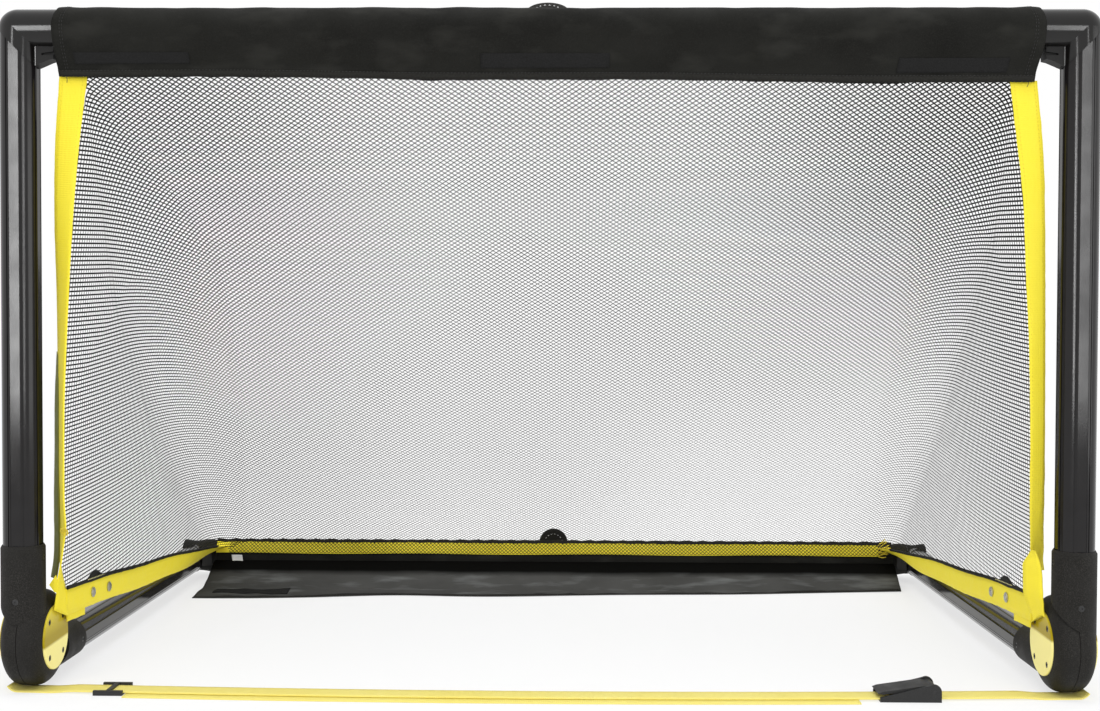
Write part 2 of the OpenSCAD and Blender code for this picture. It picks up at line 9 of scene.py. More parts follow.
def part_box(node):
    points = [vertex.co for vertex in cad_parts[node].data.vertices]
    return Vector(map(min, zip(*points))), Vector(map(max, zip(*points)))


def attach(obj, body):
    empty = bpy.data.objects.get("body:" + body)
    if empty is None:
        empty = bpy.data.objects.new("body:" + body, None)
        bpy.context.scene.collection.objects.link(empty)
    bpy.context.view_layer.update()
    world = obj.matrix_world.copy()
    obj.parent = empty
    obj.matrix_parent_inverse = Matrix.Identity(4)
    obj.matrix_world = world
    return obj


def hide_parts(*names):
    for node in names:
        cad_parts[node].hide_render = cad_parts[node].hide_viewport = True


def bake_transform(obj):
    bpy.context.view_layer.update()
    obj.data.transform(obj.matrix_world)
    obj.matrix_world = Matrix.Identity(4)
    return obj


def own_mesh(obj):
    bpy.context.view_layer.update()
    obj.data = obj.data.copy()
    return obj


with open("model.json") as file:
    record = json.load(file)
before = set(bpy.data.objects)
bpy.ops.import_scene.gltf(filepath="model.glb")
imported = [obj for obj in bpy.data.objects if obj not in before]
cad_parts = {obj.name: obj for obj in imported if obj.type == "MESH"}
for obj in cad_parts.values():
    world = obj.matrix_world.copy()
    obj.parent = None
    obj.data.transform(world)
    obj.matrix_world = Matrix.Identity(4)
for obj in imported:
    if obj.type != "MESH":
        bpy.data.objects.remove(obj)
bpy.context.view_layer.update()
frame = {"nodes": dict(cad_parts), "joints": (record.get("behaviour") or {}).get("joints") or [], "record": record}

MM = 0.001
BASE, FRONT = "base_frame", "front_frame"


# Places and sizes that come from the frame
def middle(node):
    low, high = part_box(node)
    return (low + high) / 2


POST_X = middle("right_post").x
POST_Y = middle("right_post").y
BAR_Z = middle("crossbar").z
REAR_Y = middle("rear_bar").y
ARM_Z = middle("rear_bar").z
HINGE = Vector(next(j for j in frame["joints"] if j["name"] == "fold")["pos_m"])
TUBE_R = (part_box("crossbar")[1].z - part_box("crossbar")[0].z) / 2
SLEEVE_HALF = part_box("crossbar_sleeve")[1].x
SLEEVE_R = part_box("crossbar_sleeve")[1].z - BAR_Z
HEM_DROP = BAR_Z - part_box("crossbar_sleeve")[0].z
REAR_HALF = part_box("rear_sleeve")[1].x
REAR_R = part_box("rear_sleeve")[1].z - ARM_Z
CAP_R = (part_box("left_hinge_cap")[1].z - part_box("left_hinge_cap")[0].z) / 2
FLAP_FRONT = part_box("rear_flap")[0].y


def add_object(name, data):
    obj = bpy.data.objects.new(name, data)
    bpy.context.scene.collection.objects.link(obj)
    return obj


# Camera of the photograph, as fitted to the goal: pixels, millimetres and degrees
IMAGE_W, FOCAL_PX, SENSOR_W = 1100, 1372.1, 36
CAMERA_AT = (25.8 * MM, -1839.3 * MM, 410.3 * MM)
CAMERA_PITCH, CAMERA_YAW, CAMERA_ROLL = -1.430, -0.839, 0.174


def add_camera():
    data = bpy.data.cameras.new("camera")
    data.sensor_width = SENSOR_W
    data.lens = FOCAL_PX / IMAGE_W * SENSOR_W
    data.clip_start, data.clip_end = 0.01, 100
    obj = add_object("camera", data)
    pitch, yaw, roll = (math.radians(a) for a in (CAMERA_PITCH, CAMERA_YAW, CAMERA_ROLL))
    ahead = Vector((math.sin(yaw) * math.cos(pitch), math.cos(yaw) * math.cos(pitch), math.sin(pitch)))
    level = Vector((math.cos(yaw), -math.sin(yaw), 0))
    upright = level.cross(ahead)
    right = math.cos(roll) * level + math.sin(roll) * upright
    up = -math.sin(roll) * level + math.cos(roll) * upright
    turn = Matrix((right, up, -ahead)).transposed().to_4x4()
    obj.matrix_world = Matrix.Translation(CAMERA_AT) @ turn
    bpy.context.scene.camera = obj


# Material helpers
class Finish:
    """A material with one principled shader, and short ways to feed it."""

    def __init__(self, name, colour, rough, shine=0.5, metal=0.0):
        self.material = bpy.data.materials.new(name)
        self.material.use_nodes = True
        self.nodes = self.material.node_tree.nodes
        self.links = self.material.node_tree.links
        self.shader = self.nodes["Principled BSDF"]
        self.colour = (*colour, 1)
        for key, value in (("Base Color", self.colour), ("Roughness", rough), ("Specular IOR Level", shine),
                           ("Metallic", metal)):
            self.shader.inputs[key].default_value = value
        self.places = self.nodes.new("ShaderNodeTexCoord")

    def node(self, kind, **settings):
        made = self.nodes.new(kind)
        for key, value in settings.items():
            if key in made.inputs:
                made.inputs[key].default_value = value
            else:
                setattr(made, key, value)
        return made

    def axes(self):
        """The X, Y and Z of the object's own coordinates."""
        split = self.node("ShaderNodeSeparateXYZ")
        self.links.new(self.places.outputs["Object"], split.inputs[0])
        return split.outputs

    def scaled(self, source, scale=(1, 1, 1)):
        """Coordinates from the Object or UV output, times a scale for each axis."""
        mapping = self.node("ShaderNodeMapping", Scale=scale)
        self.links.new(self.places.outputs[source], mapping.inputs["Vector"])
        return mapping.outputs["Vector"]

    def source(self, given):
        """A socket as it is, or noise from its scale, its detail and maybe its stretch."""
        if not isinstance(given, tuple):
            return given
        scale, detail, *stretch = given
        made = self.node("ShaderNodeTexNoise", Scale=scale, Detail=detail)
        self.links.new(self.scaled("Object", *stretch), made.inputs["Vector"])
        return made.outputs["Fac"]

    def wave(self, per_metre, axis, source="UV"):
        """Even ridges along one axis, so many to the metre."""
        made = self.node("ShaderNodeTexWave", bands_direction=axis, wave_profile="SIN", Scale=1.0)
        turns = per_metre * math.tau / 20
        self.links.new(self.scaled(source, (turns, turns, turns)), made.inputs["Vector"])
        return made.outputs["Fac"]

    def math(self, operation, a, b):
        made = self.node("ShaderNodeMath", operation=operation)
        for socket, value in zip(made.inputs, (a, b)):
            if isinstance(value, (int, float)):
                socket.default_value = value
            else:
                self.links.new(value, socket)
        return made.outputs[0]

    def spread(self, fac, low, high, from_low=0.3, from_high=0.7):
        """A value from low to high as fac goes over its usual range."""
        ends = {"From Min": from_low, "From Max": from_high, "To Min": low, "To Max": high}
        made = self.node("ShaderNodeMapRange", **ends)
        self.links.new(self.source(fac), made.inputs["Value"])
        return made.outputs["Result"]

    def chain(self, key, into, out):
        """Puts a node between a socket of the shader and what feeds it already."""
        socket = self.shader.inputs[key]
        if socket.is_linked:
            self.links.new(socket.links[0].from_socket, into)
        self.links.new(out, socket)
        return self

    def tint(self, fac, other, from_low=0.3, from_high=0.7):
        """Mixes the base colour towards another one as fac rises."""
        made = self.node("ShaderNodeMix", data_type="RGBA")
        self.links.new(self.spread(fac, 0, 1, from_low, from_high), made.inputs["Factor"])
        made.inputs["A"].default_value = self.colour
        made.inputs["B"].default_value = (*other, 1)
        return self.chain("Base Color", made.inputs["A"], made.outputs["Result"])

    def rough(self, fac, low, high):
        self.links.new(self.spread(fac, low, high), self.shader.inputs["Roughness"])
        return self

    def bump(self, height, depth, strength=1.0):
        """Relief of that depth in metres, on top of any before it."""
        made = self.node("ShaderNodeBump", Strength=strength, Distance=depth)
        self.links.new(self.source(height), made.inputs["Height"])
        return self.chain("Normal", made.inputs["Normal"], made.outputs["Normal"])


def grey(level):
    return (level, level, level)


def tube_finish():
    f = Finish("tube_black", (0.0065, 0.0057, 0.0059), 0.15, shine=0.3)
    f.tint((60, 4), (0.009, 0.008, 0.0083))
    f.rough((35, 5), 0.1, 0.16)
    return f.bump((900, 2), 0.02 * MM, 0.4)


# The elbows' lug is matt: it lies below the bar and inside the post, with this much to spare
LUG_SPARE, LUG_ROUGH = 0.5 * MM, 0.65


def elbow_finish():
    """Glossy corner piece; the hooked lug under its arm is matt."""
    f = Finish("elbow_black", (0.004, 0.0037, 0.0035), 0.15, shine=0.38)
    f.tint((50, 4), (0.006, 0.0056, 0.0053))
    at = f.axes()
    under = f.math("LESS_THAN", at["Z"], BAR_Z - TUBE_R + LUG_SPARE)
    inside = f.math("LESS_THAN", f.math("ABSOLUTE", at["X"], 0), POST_X - TUBE_R - LUG_SPARE)
    lug = f.math("MULTIPLY", under, inside)
    gloss = f.spread((40, 4), 0.13, 0.18)
    rough = f.math("MAXIMUM", gloss, f.math("MULTIPLY", lug, LUG_ROUGH))
    f.links.new(rough, f.shader.inputs["Roughness"])
    return f.bump((700, 2), 0.02 * MM, 0.4)


def knuckle_finish():
    f = Finish("knuckle_grey", (0.0095, 0.0089, 0.0078), 0.6, shine=0.15)
    f.tint((1100, 2), (0.036, 0.034, 0.0305), 0.45, 0.75)
    f.tint((25, 4), (0.0135, 0.0126, 0.0115), 0.45, 0.8)
    f.rough((60, 4), 0.52, 0.68)
    return f.bump((1100, 3), 0.16 * MM, 0.8)


# The caps' deeper yellow is a painted reflection of the side band in its shade. It starts on a line across their
# middle that rises towards the back, and is higher on the right; further up it pales again. Below the line the
# pale yellow is partly the caps' own colour and partly a painted reflection of the white floor.
CAP_SHADE_SLOPE = 0.03
CAP_SHADE_RISE = 16 * MM / (2 * POST_X)
CAP_SHADE_LOW = HINGE.z + 1 * MM - CAP_SHADE_SLOPE * HINGE.y
CAP_SHADE_HIGH = CAP_SHADE_LOW + 3 * MM
CAP_PALE_LOW, CAP_PALE_HIGH = CAP_SHADE_HIGH + 8 * MM, CAP_SHADE_HIGH + 34 * MM


def cap_finish():
    # Pale base: partly the cap's own yellow, partly a painted reflection of the white floor
    f = Finish("cap_yellow", (0.91, 0.82, 0.3), 0.2, shine=0.06)
    at = f.axes()
    line = f.math("ADD", f.math("MULTIPLY", at["Y"], CAP_SHADE_SLOPE),
                  f.math("MULTIPLY", at["X"], CAP_SHADE_RISE))
    height = f.math("SUBTRACT", at["Z"], line)
    # Painted reflection of the shaded side band: deeper yellow above the slanted line, paling again further up
    f.tint(height, (0.37, 0.28, 0.008), CAP_SHADE_LOW, CAP_SHADE_HIGH)
    f.tint(height, (0.68, 0.56, 0.05), CAP_PALE_LOW, CAP_PALE_HIGH)
    return f.rough((80, 4), 0.12, 0.2)


def screw_finish():
    f = Finish("screw_black", grey(0.012), 0.4, metal=0.3)
    f.tint((300, 3), grey(0.03))
    return f.rough((500, 3), 0.3, 0.5)


def steel_finish():
    f = Finish("steel_zinc", (0.62, 0.62, 0.63), 0.3, metal=1.0)
    f.tint((200, 4), (0.5, 0.5, 0.52))
    return f.rough((300, 4), 0.22, 0.4)


def cloth_finish():
    """Plain weave in object space, over soft creases and paler patches."""
    f = Finish("cloth_black", (0.0055, 0.0055, 0.0046), 0.7, shine=0.1)
    f.tint((9, 4, (1, 1, 1.6)), (0.0105, 0.0105, 0.009), 0.36, 0.64)
    f.tint((32, 4, (0.6, 1, 1.3)), (0.019, 0.0188, 0.0165), 0.52, 0.74)
    f.tint((1500, 2), (0.021, 0.0208, 0.018), 0.48, 0.8)
    f.rough((20, 4), 0.62, 0.8)
    f.bump((30, 5), 1.6 * MM, 0.5)
    weave = f.math("MULTIPLY", f.wave(1100, "X", "Object"), f.wave(1100, "Z", "Object"))
    return f.bump(weave, 0.12 * MM, 0.6)


def hem_finish():
    f = Finish("hem_black", (0.0135, 0.0132, 0.0118), 0.75, shine=0.1)
    f.tint((700, 3), (0.025, 0.0245, 0.022))
    return f.bump((900, 3), 0.3 * MM, 0.7)


# Painted shade: the ground flap turns black where it climbs in under the bar, from the first of these heights
# to the second
FLAP_SHADE_LOW, FLAP_SHADE_HIGH = 14 * MM, 20 * MM


def coated_finish():
    f = Finish("coated_grey", (0.062, 0.062, 0.059), 0.4, shine=0.0)
    f.tint((14, 5), (0.085, 0.085, 0.081))
    f.tint((5, 4, (0.4, 2, 1)), (0.045, 0.045, 0.042), 0.5, 0.8)
    # Painted highlights: pale streaks of sheen on the coated cloth
    f.tint((30, 4, (0.45, 1.6, 1)), (0.14, 0.145, 0.142), 0.54, 0.74)
    # Painted shade under the rear bar
    f.tint(f.axes()["Z"], (0.005, 0.005, 0.0045), FLAP_SHADE_LOW, FLAP_SHADE_HIGH)
    f.rough((30, 5), 0.28, 0.5)
    f.bump((60, 5), 0.9 * MM, 0.6)
    return f.bump((1500, 2), 0.05 * MM, 0.5)


def woven_band(name, colour, worn, valley_shade):
    """Flat webbing: fine ribs along and across it with painted shade in the valleys of the weave, and broad
    patches of wear.
    """
    f = Finish(name, colour, 0.62, shine=0.2)
    f.tint((6, 4), worn)
    ribs = f.math("MULTIPLY", f.wave(620, "Y"), f.wave(500, "X"))
    # Painted shade in the valleys between the ribs
    f.tint(ribs, valley_shade, 0.75, 1.2)
    f.rough((90, 3), 0.52, 0.7)
    f.bump(ribs, 0.25 * MM, 0.8)
    return f.bump(f.wave(210, "Y"), 0.15 * MM, 0.5)


def webbing_finish():
    return woven_band("webbing_yellow", (0.88, 0.735, 0.036), (0.9, 0.765, 0.055), (0.66, 0.54, 0.014))


# Painted sheen: the strap's webbing made paler, as lit white on its upper face
def strap_sheen_finish():
    return woven_band("strap_yellow_sheen", (0.82, 0.7, 0.17), (0.84, 0.74, 0.22), (0.6, 0.49, 0.07))


def shaded_finish():
    """Back of the webbing in painted shade: a darkened copy of the webbing."""
    return woven_band("webbing_shaded", (0.17, 0.18, 0.03), (0.22, 0.23, 0.045), (0.08, 0.085, 0.015))


def tape_finish():
    f = Finish("tape_black", grey(0.008), 0.85, shine=0.1)
    f.tint((1300, 3), grey(0.02))
    return f.bump((1300, 3), 0.5 * MM, 0.9)


def net_finish():
    f = Finish("net_black", grey(0.008), 0.6, shine=0.1)
    f.tint((400, 3), grey(0.016))
    return f.bump((2500, 2), 0.1 * MM, 0.6)


def buckle_finish():
    f = Finish("buckle_black", grey(0.014), 0.5, shine=0.3)
    f.tint((900, 3), grey(0.022))
    f.rough((70, 4), 0.42, 0.58)
    return f.bump((1200, 3), 0.08 * MM, 0.6)


def thread_finish(name, colour):
    f = Finish(name, colour, 0.7)
    f.tint((900, 2), tuple(0.7 * c for c in colour))
    return f.bump((2500, 2), 0.1 * MM, 0.6)


def label_finish():
    f = Finish("label_white", grey(0.78), 0.6)
    f.tint((500, 3), grey(0.68))
    return f.bump((1500, 2), 0.08 * MM, 0.5)


FINISH = {
    "tube": tube_finish(), "elbow": elbow_finish(), "knuckle": knuckle_finish(), "cap": cap_finish(),
    "screw": screw_finish(), "steel": steel_finish(), "cloth": cloth_finish(), "hem": hem_finish(),
    "coated_cloth": coated_finish(), "webbing": webbing_finish(), "strap": strap_sheen_finish(),
    "shaded_webbing": shaded_finish(), "hook_tape": tape_finish(), "net": net_finish(), "buckle": buckle_finish(),
    "label": label_finish(),
    "black_thread": thread_finish("thread_black", grey(0.03)),
    "white_thread": thread_finish("thread_white", grey(0.62)),
    "yellow_thread": thread_finish("thread_yellow", (0.8, 0.64, 0.04)),
    "pale_thread": thread_finish("thread_pale", (0.86, 0.8, 0.4)),
}
NODE_FINISH = {"buckle_pin": "screw"}


def dress_frame():
    """Every CAD node takes the finish of its record slot, but for the blackened pin."""
    for part in frame["record"]["subparts"]:
        obj = frame["nodes"][part["node"]]
        obj.data.materials.clear()
        finish = NODE_FINISH.get(part["node"], part["material_slot"])
        obj.data.materials.append(FINISH[finish].material)


# Mesh helpers
def piece(name, verts, faces, finish, body=None, uv=None, smooth=True):
    """A mesh in its finish, on its body if one is given."""
    mesh = bpy.data.meshes.new(name)
    faces = faces.tolist() if isinstance(faces, np.ndarray) else faces
    mesh.from_pydata(np.asarray(verts, float).tolist(), [], faces)
    if uv is not None:
        layer = mesh.uv_layers.new(name="UVMap")
        corners = np.zeros(len(mesh.loops), np.int32)
        mesh.loops.foreach_get("vertex_index", corners)
        layer.data.foreach_set("uv", np.asarray(uv, np.float32)[corners].ravel())
    mesh.polygons.foreach_set("use_smooth", [smooth] * len(mesh.polygons))
    mesh.materials.append(FINISH[finish].material)
    obj = add_object(name, mesh)
    if body:
        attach(obj, body)
    return obj


def grid_faces(rows, cols, wrap=False):
    """Quads of a grid of points in row order; wrap joins the last column to the first."""
    r = np.arange(rows - 1)[:, None]
    c = np.arange(cols if wrap else cols - 1)[None, :]
    a = r * cols + c
    b = r * cols + (c + 1) % cols
    return np.stack([a, b, b + cols, a + cols], axis=-1).reshape(-1, 4)


def solidify(obj, thickness):
    made = obj.modifiers.new("thickness", "SOLIDIFY")
    made.thickness = thickness
    made.offset = -1
    return obj


def panel(name, grid, thickness, body, finish="cloth"):
    """Cloth of some thickness over a grid of points."""
    made = piece(name, grid.reshape(-1, 3), grid_faces(*grid.shape[:2]), finish, body)
    return solidify(made, thickness)


def lower(parts):
    """Gives each soft piece a mesh of its own."""
    for part in parts:
        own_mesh(part)


def smoothstep(t):
    t = np.clip(t, 0, 1)
    return t * t * (3 - 2 * t)


def along(points):
    """Length along a line of points up to each of them."""
    steps = np.linalg.norm(np.diff(points, axis=0), axis=1)
    return np.concatenate([[0], np.cumsum(steps)])


def unit(v):
    v = np.asarray(v, float)
    return v / np.linalg.norm(v, axis=-1, keepdims=True)


def mirrored(points, side):
    points = np.array(points, float)
    points[..., 0] *= side
    return points


def wavy(points, scale, seed):
    """Smooth noise at each point, about -1 to 1."""
    shift = Vector((seed, seed * 1.7, seed * 0.3))
    return np.array([noise.noise(Vector(p) * scale + shift) for p in points])


def xyz(x, y, z):
    """Points from their coordinates, each of which may be one number."""
    return np.stack(np.broadcast_arrays(x, y, z), axis=-1)


def swept(x, section):
    """A section of (y, z) points repeated at each x, one row per section point."""
    return xyz(x[None, :], section[:, :1], section[:, 1:])


def outward(section):
    """Normals on the left of a line of (y, z) points."""
    step = np.gradient(section, axis=0)
    return unit(np.stack([-step[:, 1], step[:, 0]], axis=1))


def ribbon(name, points, across, width, thick, body=None, finish="webbing", slot="webbing", wear=0.0,
           taper=1.0):
    """Woven band along a line of points, with round edges. UV runs along and across it in metres."""
    points = np.asarray(points, float)
    across = np.broadcast_to(unit(across), points.shape)
    normal = unit(np.cross(np.gradient(points, axis=0), across))
    half, t = width / 2, thick / 2
    edge = half - 0.6 * t
    top = [(a, t) for a in (-edge, -half / 2, 0, half / 2, edge)]
    section = [(-half, 0), *top, (half, 0), *((-a, -b) for a, b in top)]
    length = along(points)
    rim = wear * wavy(points, 90, 3.1)
    verts, uv = [], []
    for a, b in section:
        side = np.sign(a) * rim if abs(a) > half / 2 else 0 * rim
        verts.append(points + across * (a * taper + side)[:, None] + normal * b)
        uv.append(np.stack([length, np.full(len(points), a)], axis=1))
    count = len(section)
    verts = np.stack(verts, axis=1).reshape(-1, 3)
    uv = np.stack(uv, axis=1).reshape(-1, 2)
    last = (len(points) - 1) * count
    faces = grid_faces(len(points), count, wrap=True).tolist()
    faces += [list(range(count))[::-1], [last + k for k in range(count)]]
    return piece(name, verts, faces, finish, body, uv)


def stitches(name, lines, finish, body, length=2.8 * MM, pitch=3.8 * MM, width=0.7 * MM):
    """Thread along lines of (points, normals): short raised stitches at an even pitch."""
    ring = [(math.cos(a), math.sin(a)) for a in np.arange(4) * math.tau / 4]
    verts, faces = [], []
    for points, normals in lines:
        points = np.asarray(points, float)
        normals = np.broadcast_to(np.asarray(normals, float), points.shape)
        at = along(points)

        def between(rows, where):
            return np.array([np.interp(where, at, column) for column in rows.T])

        for middle_at in np.arange(pitch / 2, at[-1] - length / 2, pitch):
            first, last = (between(points, middle_at + k * length) for k in (-0.5, 0.5))
            up = unit(between(normals, middle_at))
            out = np.cross(unit(last - first), up)
            centre = (first + last) / 2 + up * 0.15 * width
            base = len(verts)
            verts += [first, *[centre + width / 2 * (c * out + s * up) for c, s in ring], last]
            for k in range(4):
                m = base + 1 + (k + 1) % 4
                faces += [[base, m, base + 1 + k], [base + 5, base + 1 + k, m]]
    return piece(name, verts, faces, finish, body)


# A direction that no loose thread runs in
ASIDE = (0.3, 1.0, 0.2)


def loose_threads(name, lines, finish, body, width=0.8 * MM):
    """Thin loose threads along lines of points."""
    verts, faces = [], []
    for points in lines:
        points = np.asarray(points, float)
        go = unit(np.gradient(points, axis=0))
        out = unit(np.cross(go, ASIDE))
        up = np.cross(out, go)
        base = len(verts)
        for k in range(len(points)):
            verts += [points[k] + width / 2 * (math.cos(a) * out[k] + math.sin(a) * up[k])
                      for a in (0, math.tau / 3, 2 * math.tau / 3)]
        last = base + 3 * (len(points) - 1)
        faces += [[base + f for f in face] for face in grid_faces(len(points), 3, wrap=True).tolist()]
        faces += [[base + 2, base + 1, base], [last, last + 1, last + 2]]
    return piece(name, verts, faces, finish, body)


# Crossbar sleeve: a cloth tube that hangs down into a double hem
HEM_Y = -6 * MM
HEM_HALF = 1.6 * MM
HEM_H = 9 * MM
HEM_RAISED, HEM_STEP = 0.8 * MM, 1.2 * MM
HEM_WAVE, HEM_WAVE_LENGTH = 0.8 * MM, 70 * MM
SLEEVE_RISE = 7 * MM
BROAD_FOLD, FINE_FOLD, FOLD_IN = 2.2 * MM, 1.6 * MM, 0.7 * MM
PUCKER, PUCKER_REACH, PUCKER_WAVE = 0.9 * MM, 26 * MM, 9 * MM
# How far the sleeve's ends draw in: at the hem on the left and right, at the top, and all over on the right
END_IN_LEFT, END_IN_RIGHT, END_IN_TOP, END_IN_ALL = 3 * MM, 8 * MM, 3.5 * MM, 1.5 * MM
# Seams: how far in from the sleeve's ends, and how high above its hem
END_SEAMS, HEM_SEAMS = (9 * MM, 11.5 * MM), (HEM_H - 1.2 * MM, 2 * MM)


def sleeve_section(steps_flat=26, steps_round=44):
    """Points and outward normals of the sleeve's section, from the front hem over the bar to the back hem."""
    spots, ends = [], []
    for y, turn in ((HEM_Y - HEM_HALF, -1), (HEM_Y + HEM_HALF, 1)):
        away = math.hypot(y, HEM_DROP)
        ends.append(math.atan2(-HEM_DROP, y) + turn * math.acos(SLEEVE_R / away))
        spots.append(np.array([y, -HEM_DROP]))
    angles = np.linspace(ends[0] % math.tau, ends[1], steps_round)
    arc = SLEEVE_R * np.stack([np.cos(angles), np.sin(angles)], axis=1)
    t = np.linspace(0, 1, steps_flat)[:, None] ** 0.8
    front = spots[0] + (arc[0] - spots[0]) * t[:-1]
    back = arc[-1] + (spots[1] - arc[-1]) * t[1:]
    section = np.concatenate([front, arc, back])
    return section, outward(section)


SECTION, SECTION_OUT = sleeve_section()
SECTION_AT = along(SECTION)


def sleeve_points(x, lift=0.0):
    """Points of the sleeve at each x, one row per section point, with folds and a raised hem."""
    x = np.asarray(x, float)
    low = smoothstep((-SECTION[:, 1] - 0.2 * HEM_DROP) / (0.8 * HEM_DROP))[:, None]
    grid = swept(x, SECTION)
    spots = grid.reshape(-1, 3)
    soft = BROAD_FOLD * wavy(spots * (1, 1, 1.6), 14, 1.3)
    soft += FINE_FOLD * wavy(spots + 0.6 * spots[:, [2, 0, 1]], 34, 5.2)
    out = np.maximum(soft.reshape(grid.shape[:2]) * (0.45 + 0.55 * low), -FOLD_IN)
    ends = np.exp(-((SLEEVE_HALF - np.abs(x)) / PUCKER_REACH) ** 2)
    out += (PUCKER * ends * np.sin(np.abs(x) / PUCKER_WAVE))[None, :]
    hem_at = np.minimum(SECTION_AT, SECTION_AT[-1] - SECTION_AT)[:, None]
    out += HEM_RAISED * (1 - smoothstep((hem_at - HEM_H) / HEM_STEP)) + lift
    grid[..., 1] += SECTION_OUT[:, :1] * out + POST_Y
    grid[..., 2] += SECTION_OUT[:, 1:] * out + BAR_Z
    tilt = SLEEVE_RISE * (0.5 - x / (2 * SLEEVE_HALF))
    grid[..., 2] += low * (tilt + HEM_WAVE * np.sin(x / HEM_WAVE_LENGTH))[None, :]
    high = smoothstep(SECTION[:, 1] / SLEEVE_R - 0.1)[:, None] * END_IN_TOP
    inset = high + np.where(x < 0, low * END_IN_LEFT, low * END_IN_RIGHT + END_IN_ALL)
    grid[..., 0] -= x / SLEEVE_HALF * inset
    return grid


def sleeve_strip(x0, x1, height0, height1, lift):
    """Part of the sleeve's front between two heights above its hem, lifted off the cloth."""
    x = np.linspace(x0, x1, max(4, int((x1 - x0) / (4 * MM))))
    rows = np.flatnonzero((SECTION_AT >= height0) & (SECTION_AT <= height1) & (SECTION[:, 0] < HEM_Y))
    return sleeve_points(x, lift)[rows]


# Closing tapes on the sleeve's front: name, left, right, and heights above the hem
SLEEVE_TAPES = (
    ("left_sleeve_tape", -513 * MM, -388 * MM, 14 * MM, 31 * MM),
    ("middle_sleeve_tape", -72 * MM, 68 * MM, 11 * MM, 30 * MM),
    ("right_sleeve_tape", 381 * MM, 501 * MM, 8 * MM, 26 * MM),
)


def add_crossbar_sleeve():
    x = np.linspace(-SLEEVE_HALF, SLEEVE_HALF, 300)
    sleeve = panel("crossbar_sleeve_cloth", sleeve_points(x), 1.1 * MM, FRONT)
    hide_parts("crossbar_sleeve")
    for name, *place in SLEEVE_TAPES:
        strip = sleeve_strip(*place, lift=0.7 * MM)
        panel(name, strip, 0.9 * MM, FRONT, "hook_tape")
    strip = sleeve_strip(-SLEEVE_HALF, SLEEVE_HALF, 0, HEM_H, 0.5 * MM)
    panel("sleeve_hem", strip, 0.6 * MM, FRONT, "hem")
    lines = []
    for seam in END_SEAMS:
        for side in (-1, 1):
            rows = sleeve_points([side * (SLEEVE_HALF - seam)], 0.15 * MM)[:, 0]
            lines.append((rows, np.insert(SECTION_OUT, 0, 0, axis=1)))
    raised = sleeve_points(x, 0.65 * MM)
    for height in HEM_SEAMS:
        for at in (height, SECTION_AT[-1] - height):
            row = np.argmin(np.abs(SECTION_AT - at))
            lines.append((raised[row], (0, *SECTION_OUT[row])))
    thread = stitches("sleeve_stitching", lines, "black_thread", FRONT)


# Upright side bands from top to foot, in millimetres and degrees: height, distance from the middle, depth
# behind the post axis, turn, and where an edge is folded under, the share of the full width that is left
LEFT_BAND = (
    (676, 516, -4, -4), (600, 524.5, -1, 14), (520, 529.8, 2, 31), (440, 532.8, 6, 46),
    (330, 536.4, 10, 58), (250, 538.6, 14, 59), (210, 540, 18, 59), (181, 540, 20, 56),
    (158.7, 542.1, 22, 61), (139, 544.2, 25, 68), (121.8, 545.4, 27, 78.6), (109.4, 544, 27, 88),
    (99.3, 543.9, 27, 93), (86, 544.5, 27, 100),
)
RIGHT_BAND = (
    (671, 513.5, -4, 2, 1), (603, 522.3, -1, 8, 0.99), (543, 528, 1, 13, 0.88), (452, 532.4, 5, 15, 0.78),
    (391, 535.2, 7, 17, 0.68), (299, 538.2, 11, 18, 0.63), (237, 540.9, 18, 18, 0.63),
    (192, 542.9, 24, 18, 0.59), (162.6, 546.9, 34, 19, 0.58), (145, 548.9, 39, 20, 0.55),
    (133, 550.5, 41, 20, 0.55),
)
RIGHT_FOLD = (
    (159, 538, 20, 111, 0.25), (151.5, 537.8, 20, 117, 0.53), (142.7, 536.8, 20, 123, 0.8),
    (131.4, 538, 21, 121, 0.9), (112.3, 539.2, 22, 114, 1), (100.8, 542.2, 24, 106.5, 1),
    (92, 545, 26, 99, 1), (84, 546.5, 26.5, 98, 1),
)
# Back face of the left band beside its outer edge, in painted shade
LEFT_BACK = (
    (375, 544, 21, 57, 0.25), (321, 546.5, 24, 54, 0.47), (265, 547.7, 26, 53, 0.47),
    (208, 549.2, 28, 50, 0.47), (163, 549.5, 30, 47, 0.47), (140, 551, 31, 47, 0.47),
    (120, 554, 31, 46, 0.47),
)
# Tab beside the left band: height and distance from the middle of its corners, and its depth
LEFT_TAB = ((116, 551.5), (127, 544.2), (111, 540.8), (107, 541.8), (108, 545.7))
TAB_DEPTH = 12
BAND_W = 30 * MM
WEB_T = 1.6 * MM
# Where a band's foot starts to draw up to its cap, how far it laps the rim in front and behind, and where
# it goes from one to the other
FOOT_TOP = 125 * MM
LAP_FRONT, LAP_BACK = 2 * MM, 13 * MM
LAP_FROM, LAP_OVER = HINGE.y - 8 * MM, 22 * MM
# Tuft of threads on the left band: its height and its place beside the band
TUFT_Z, TUFT_ASIDE = 176 * MM, (8 * MM, -14 * MM, 0)
# Loose threads at the hem over the bands: x and height above the hem
LEFT_THREAD, RIGHT_THREAD = (-523 * MM, 8 * MM), (517 * MM, 4 * MM)


def smooth_line(rows, count):
    """A smooth curve through given rows of numbers, at even steps of the row index."""
    rows = np.array(rows, float)
    ends = np.concatenate([[2 * rows[0] - rows[1]], rows, [2 * rows[-1] - rows[-2]]])
    made = []
    for t in np.linspace(0, len(rows) - 1, count):
        k = min(int(t), len(rows) - 2)
        f = t - k
        a, b, c, d = ends[k:k + 4]
        square, cube = 2 * a - 5 * b + 4 * c - d, 3 * b - a - 3 * c + d
        made.append((2 * b + (c - a) * f + square * f ** 2 + cube * f ** 3) / 2)
    return np.array(made)


def at_post(height, away, depth, side):
    """Points from columns in millimetres, as the side bands' rows give them."""
    return mirrored(xyz(away * MM, POST_Y + depth * MM, height * MM), side)


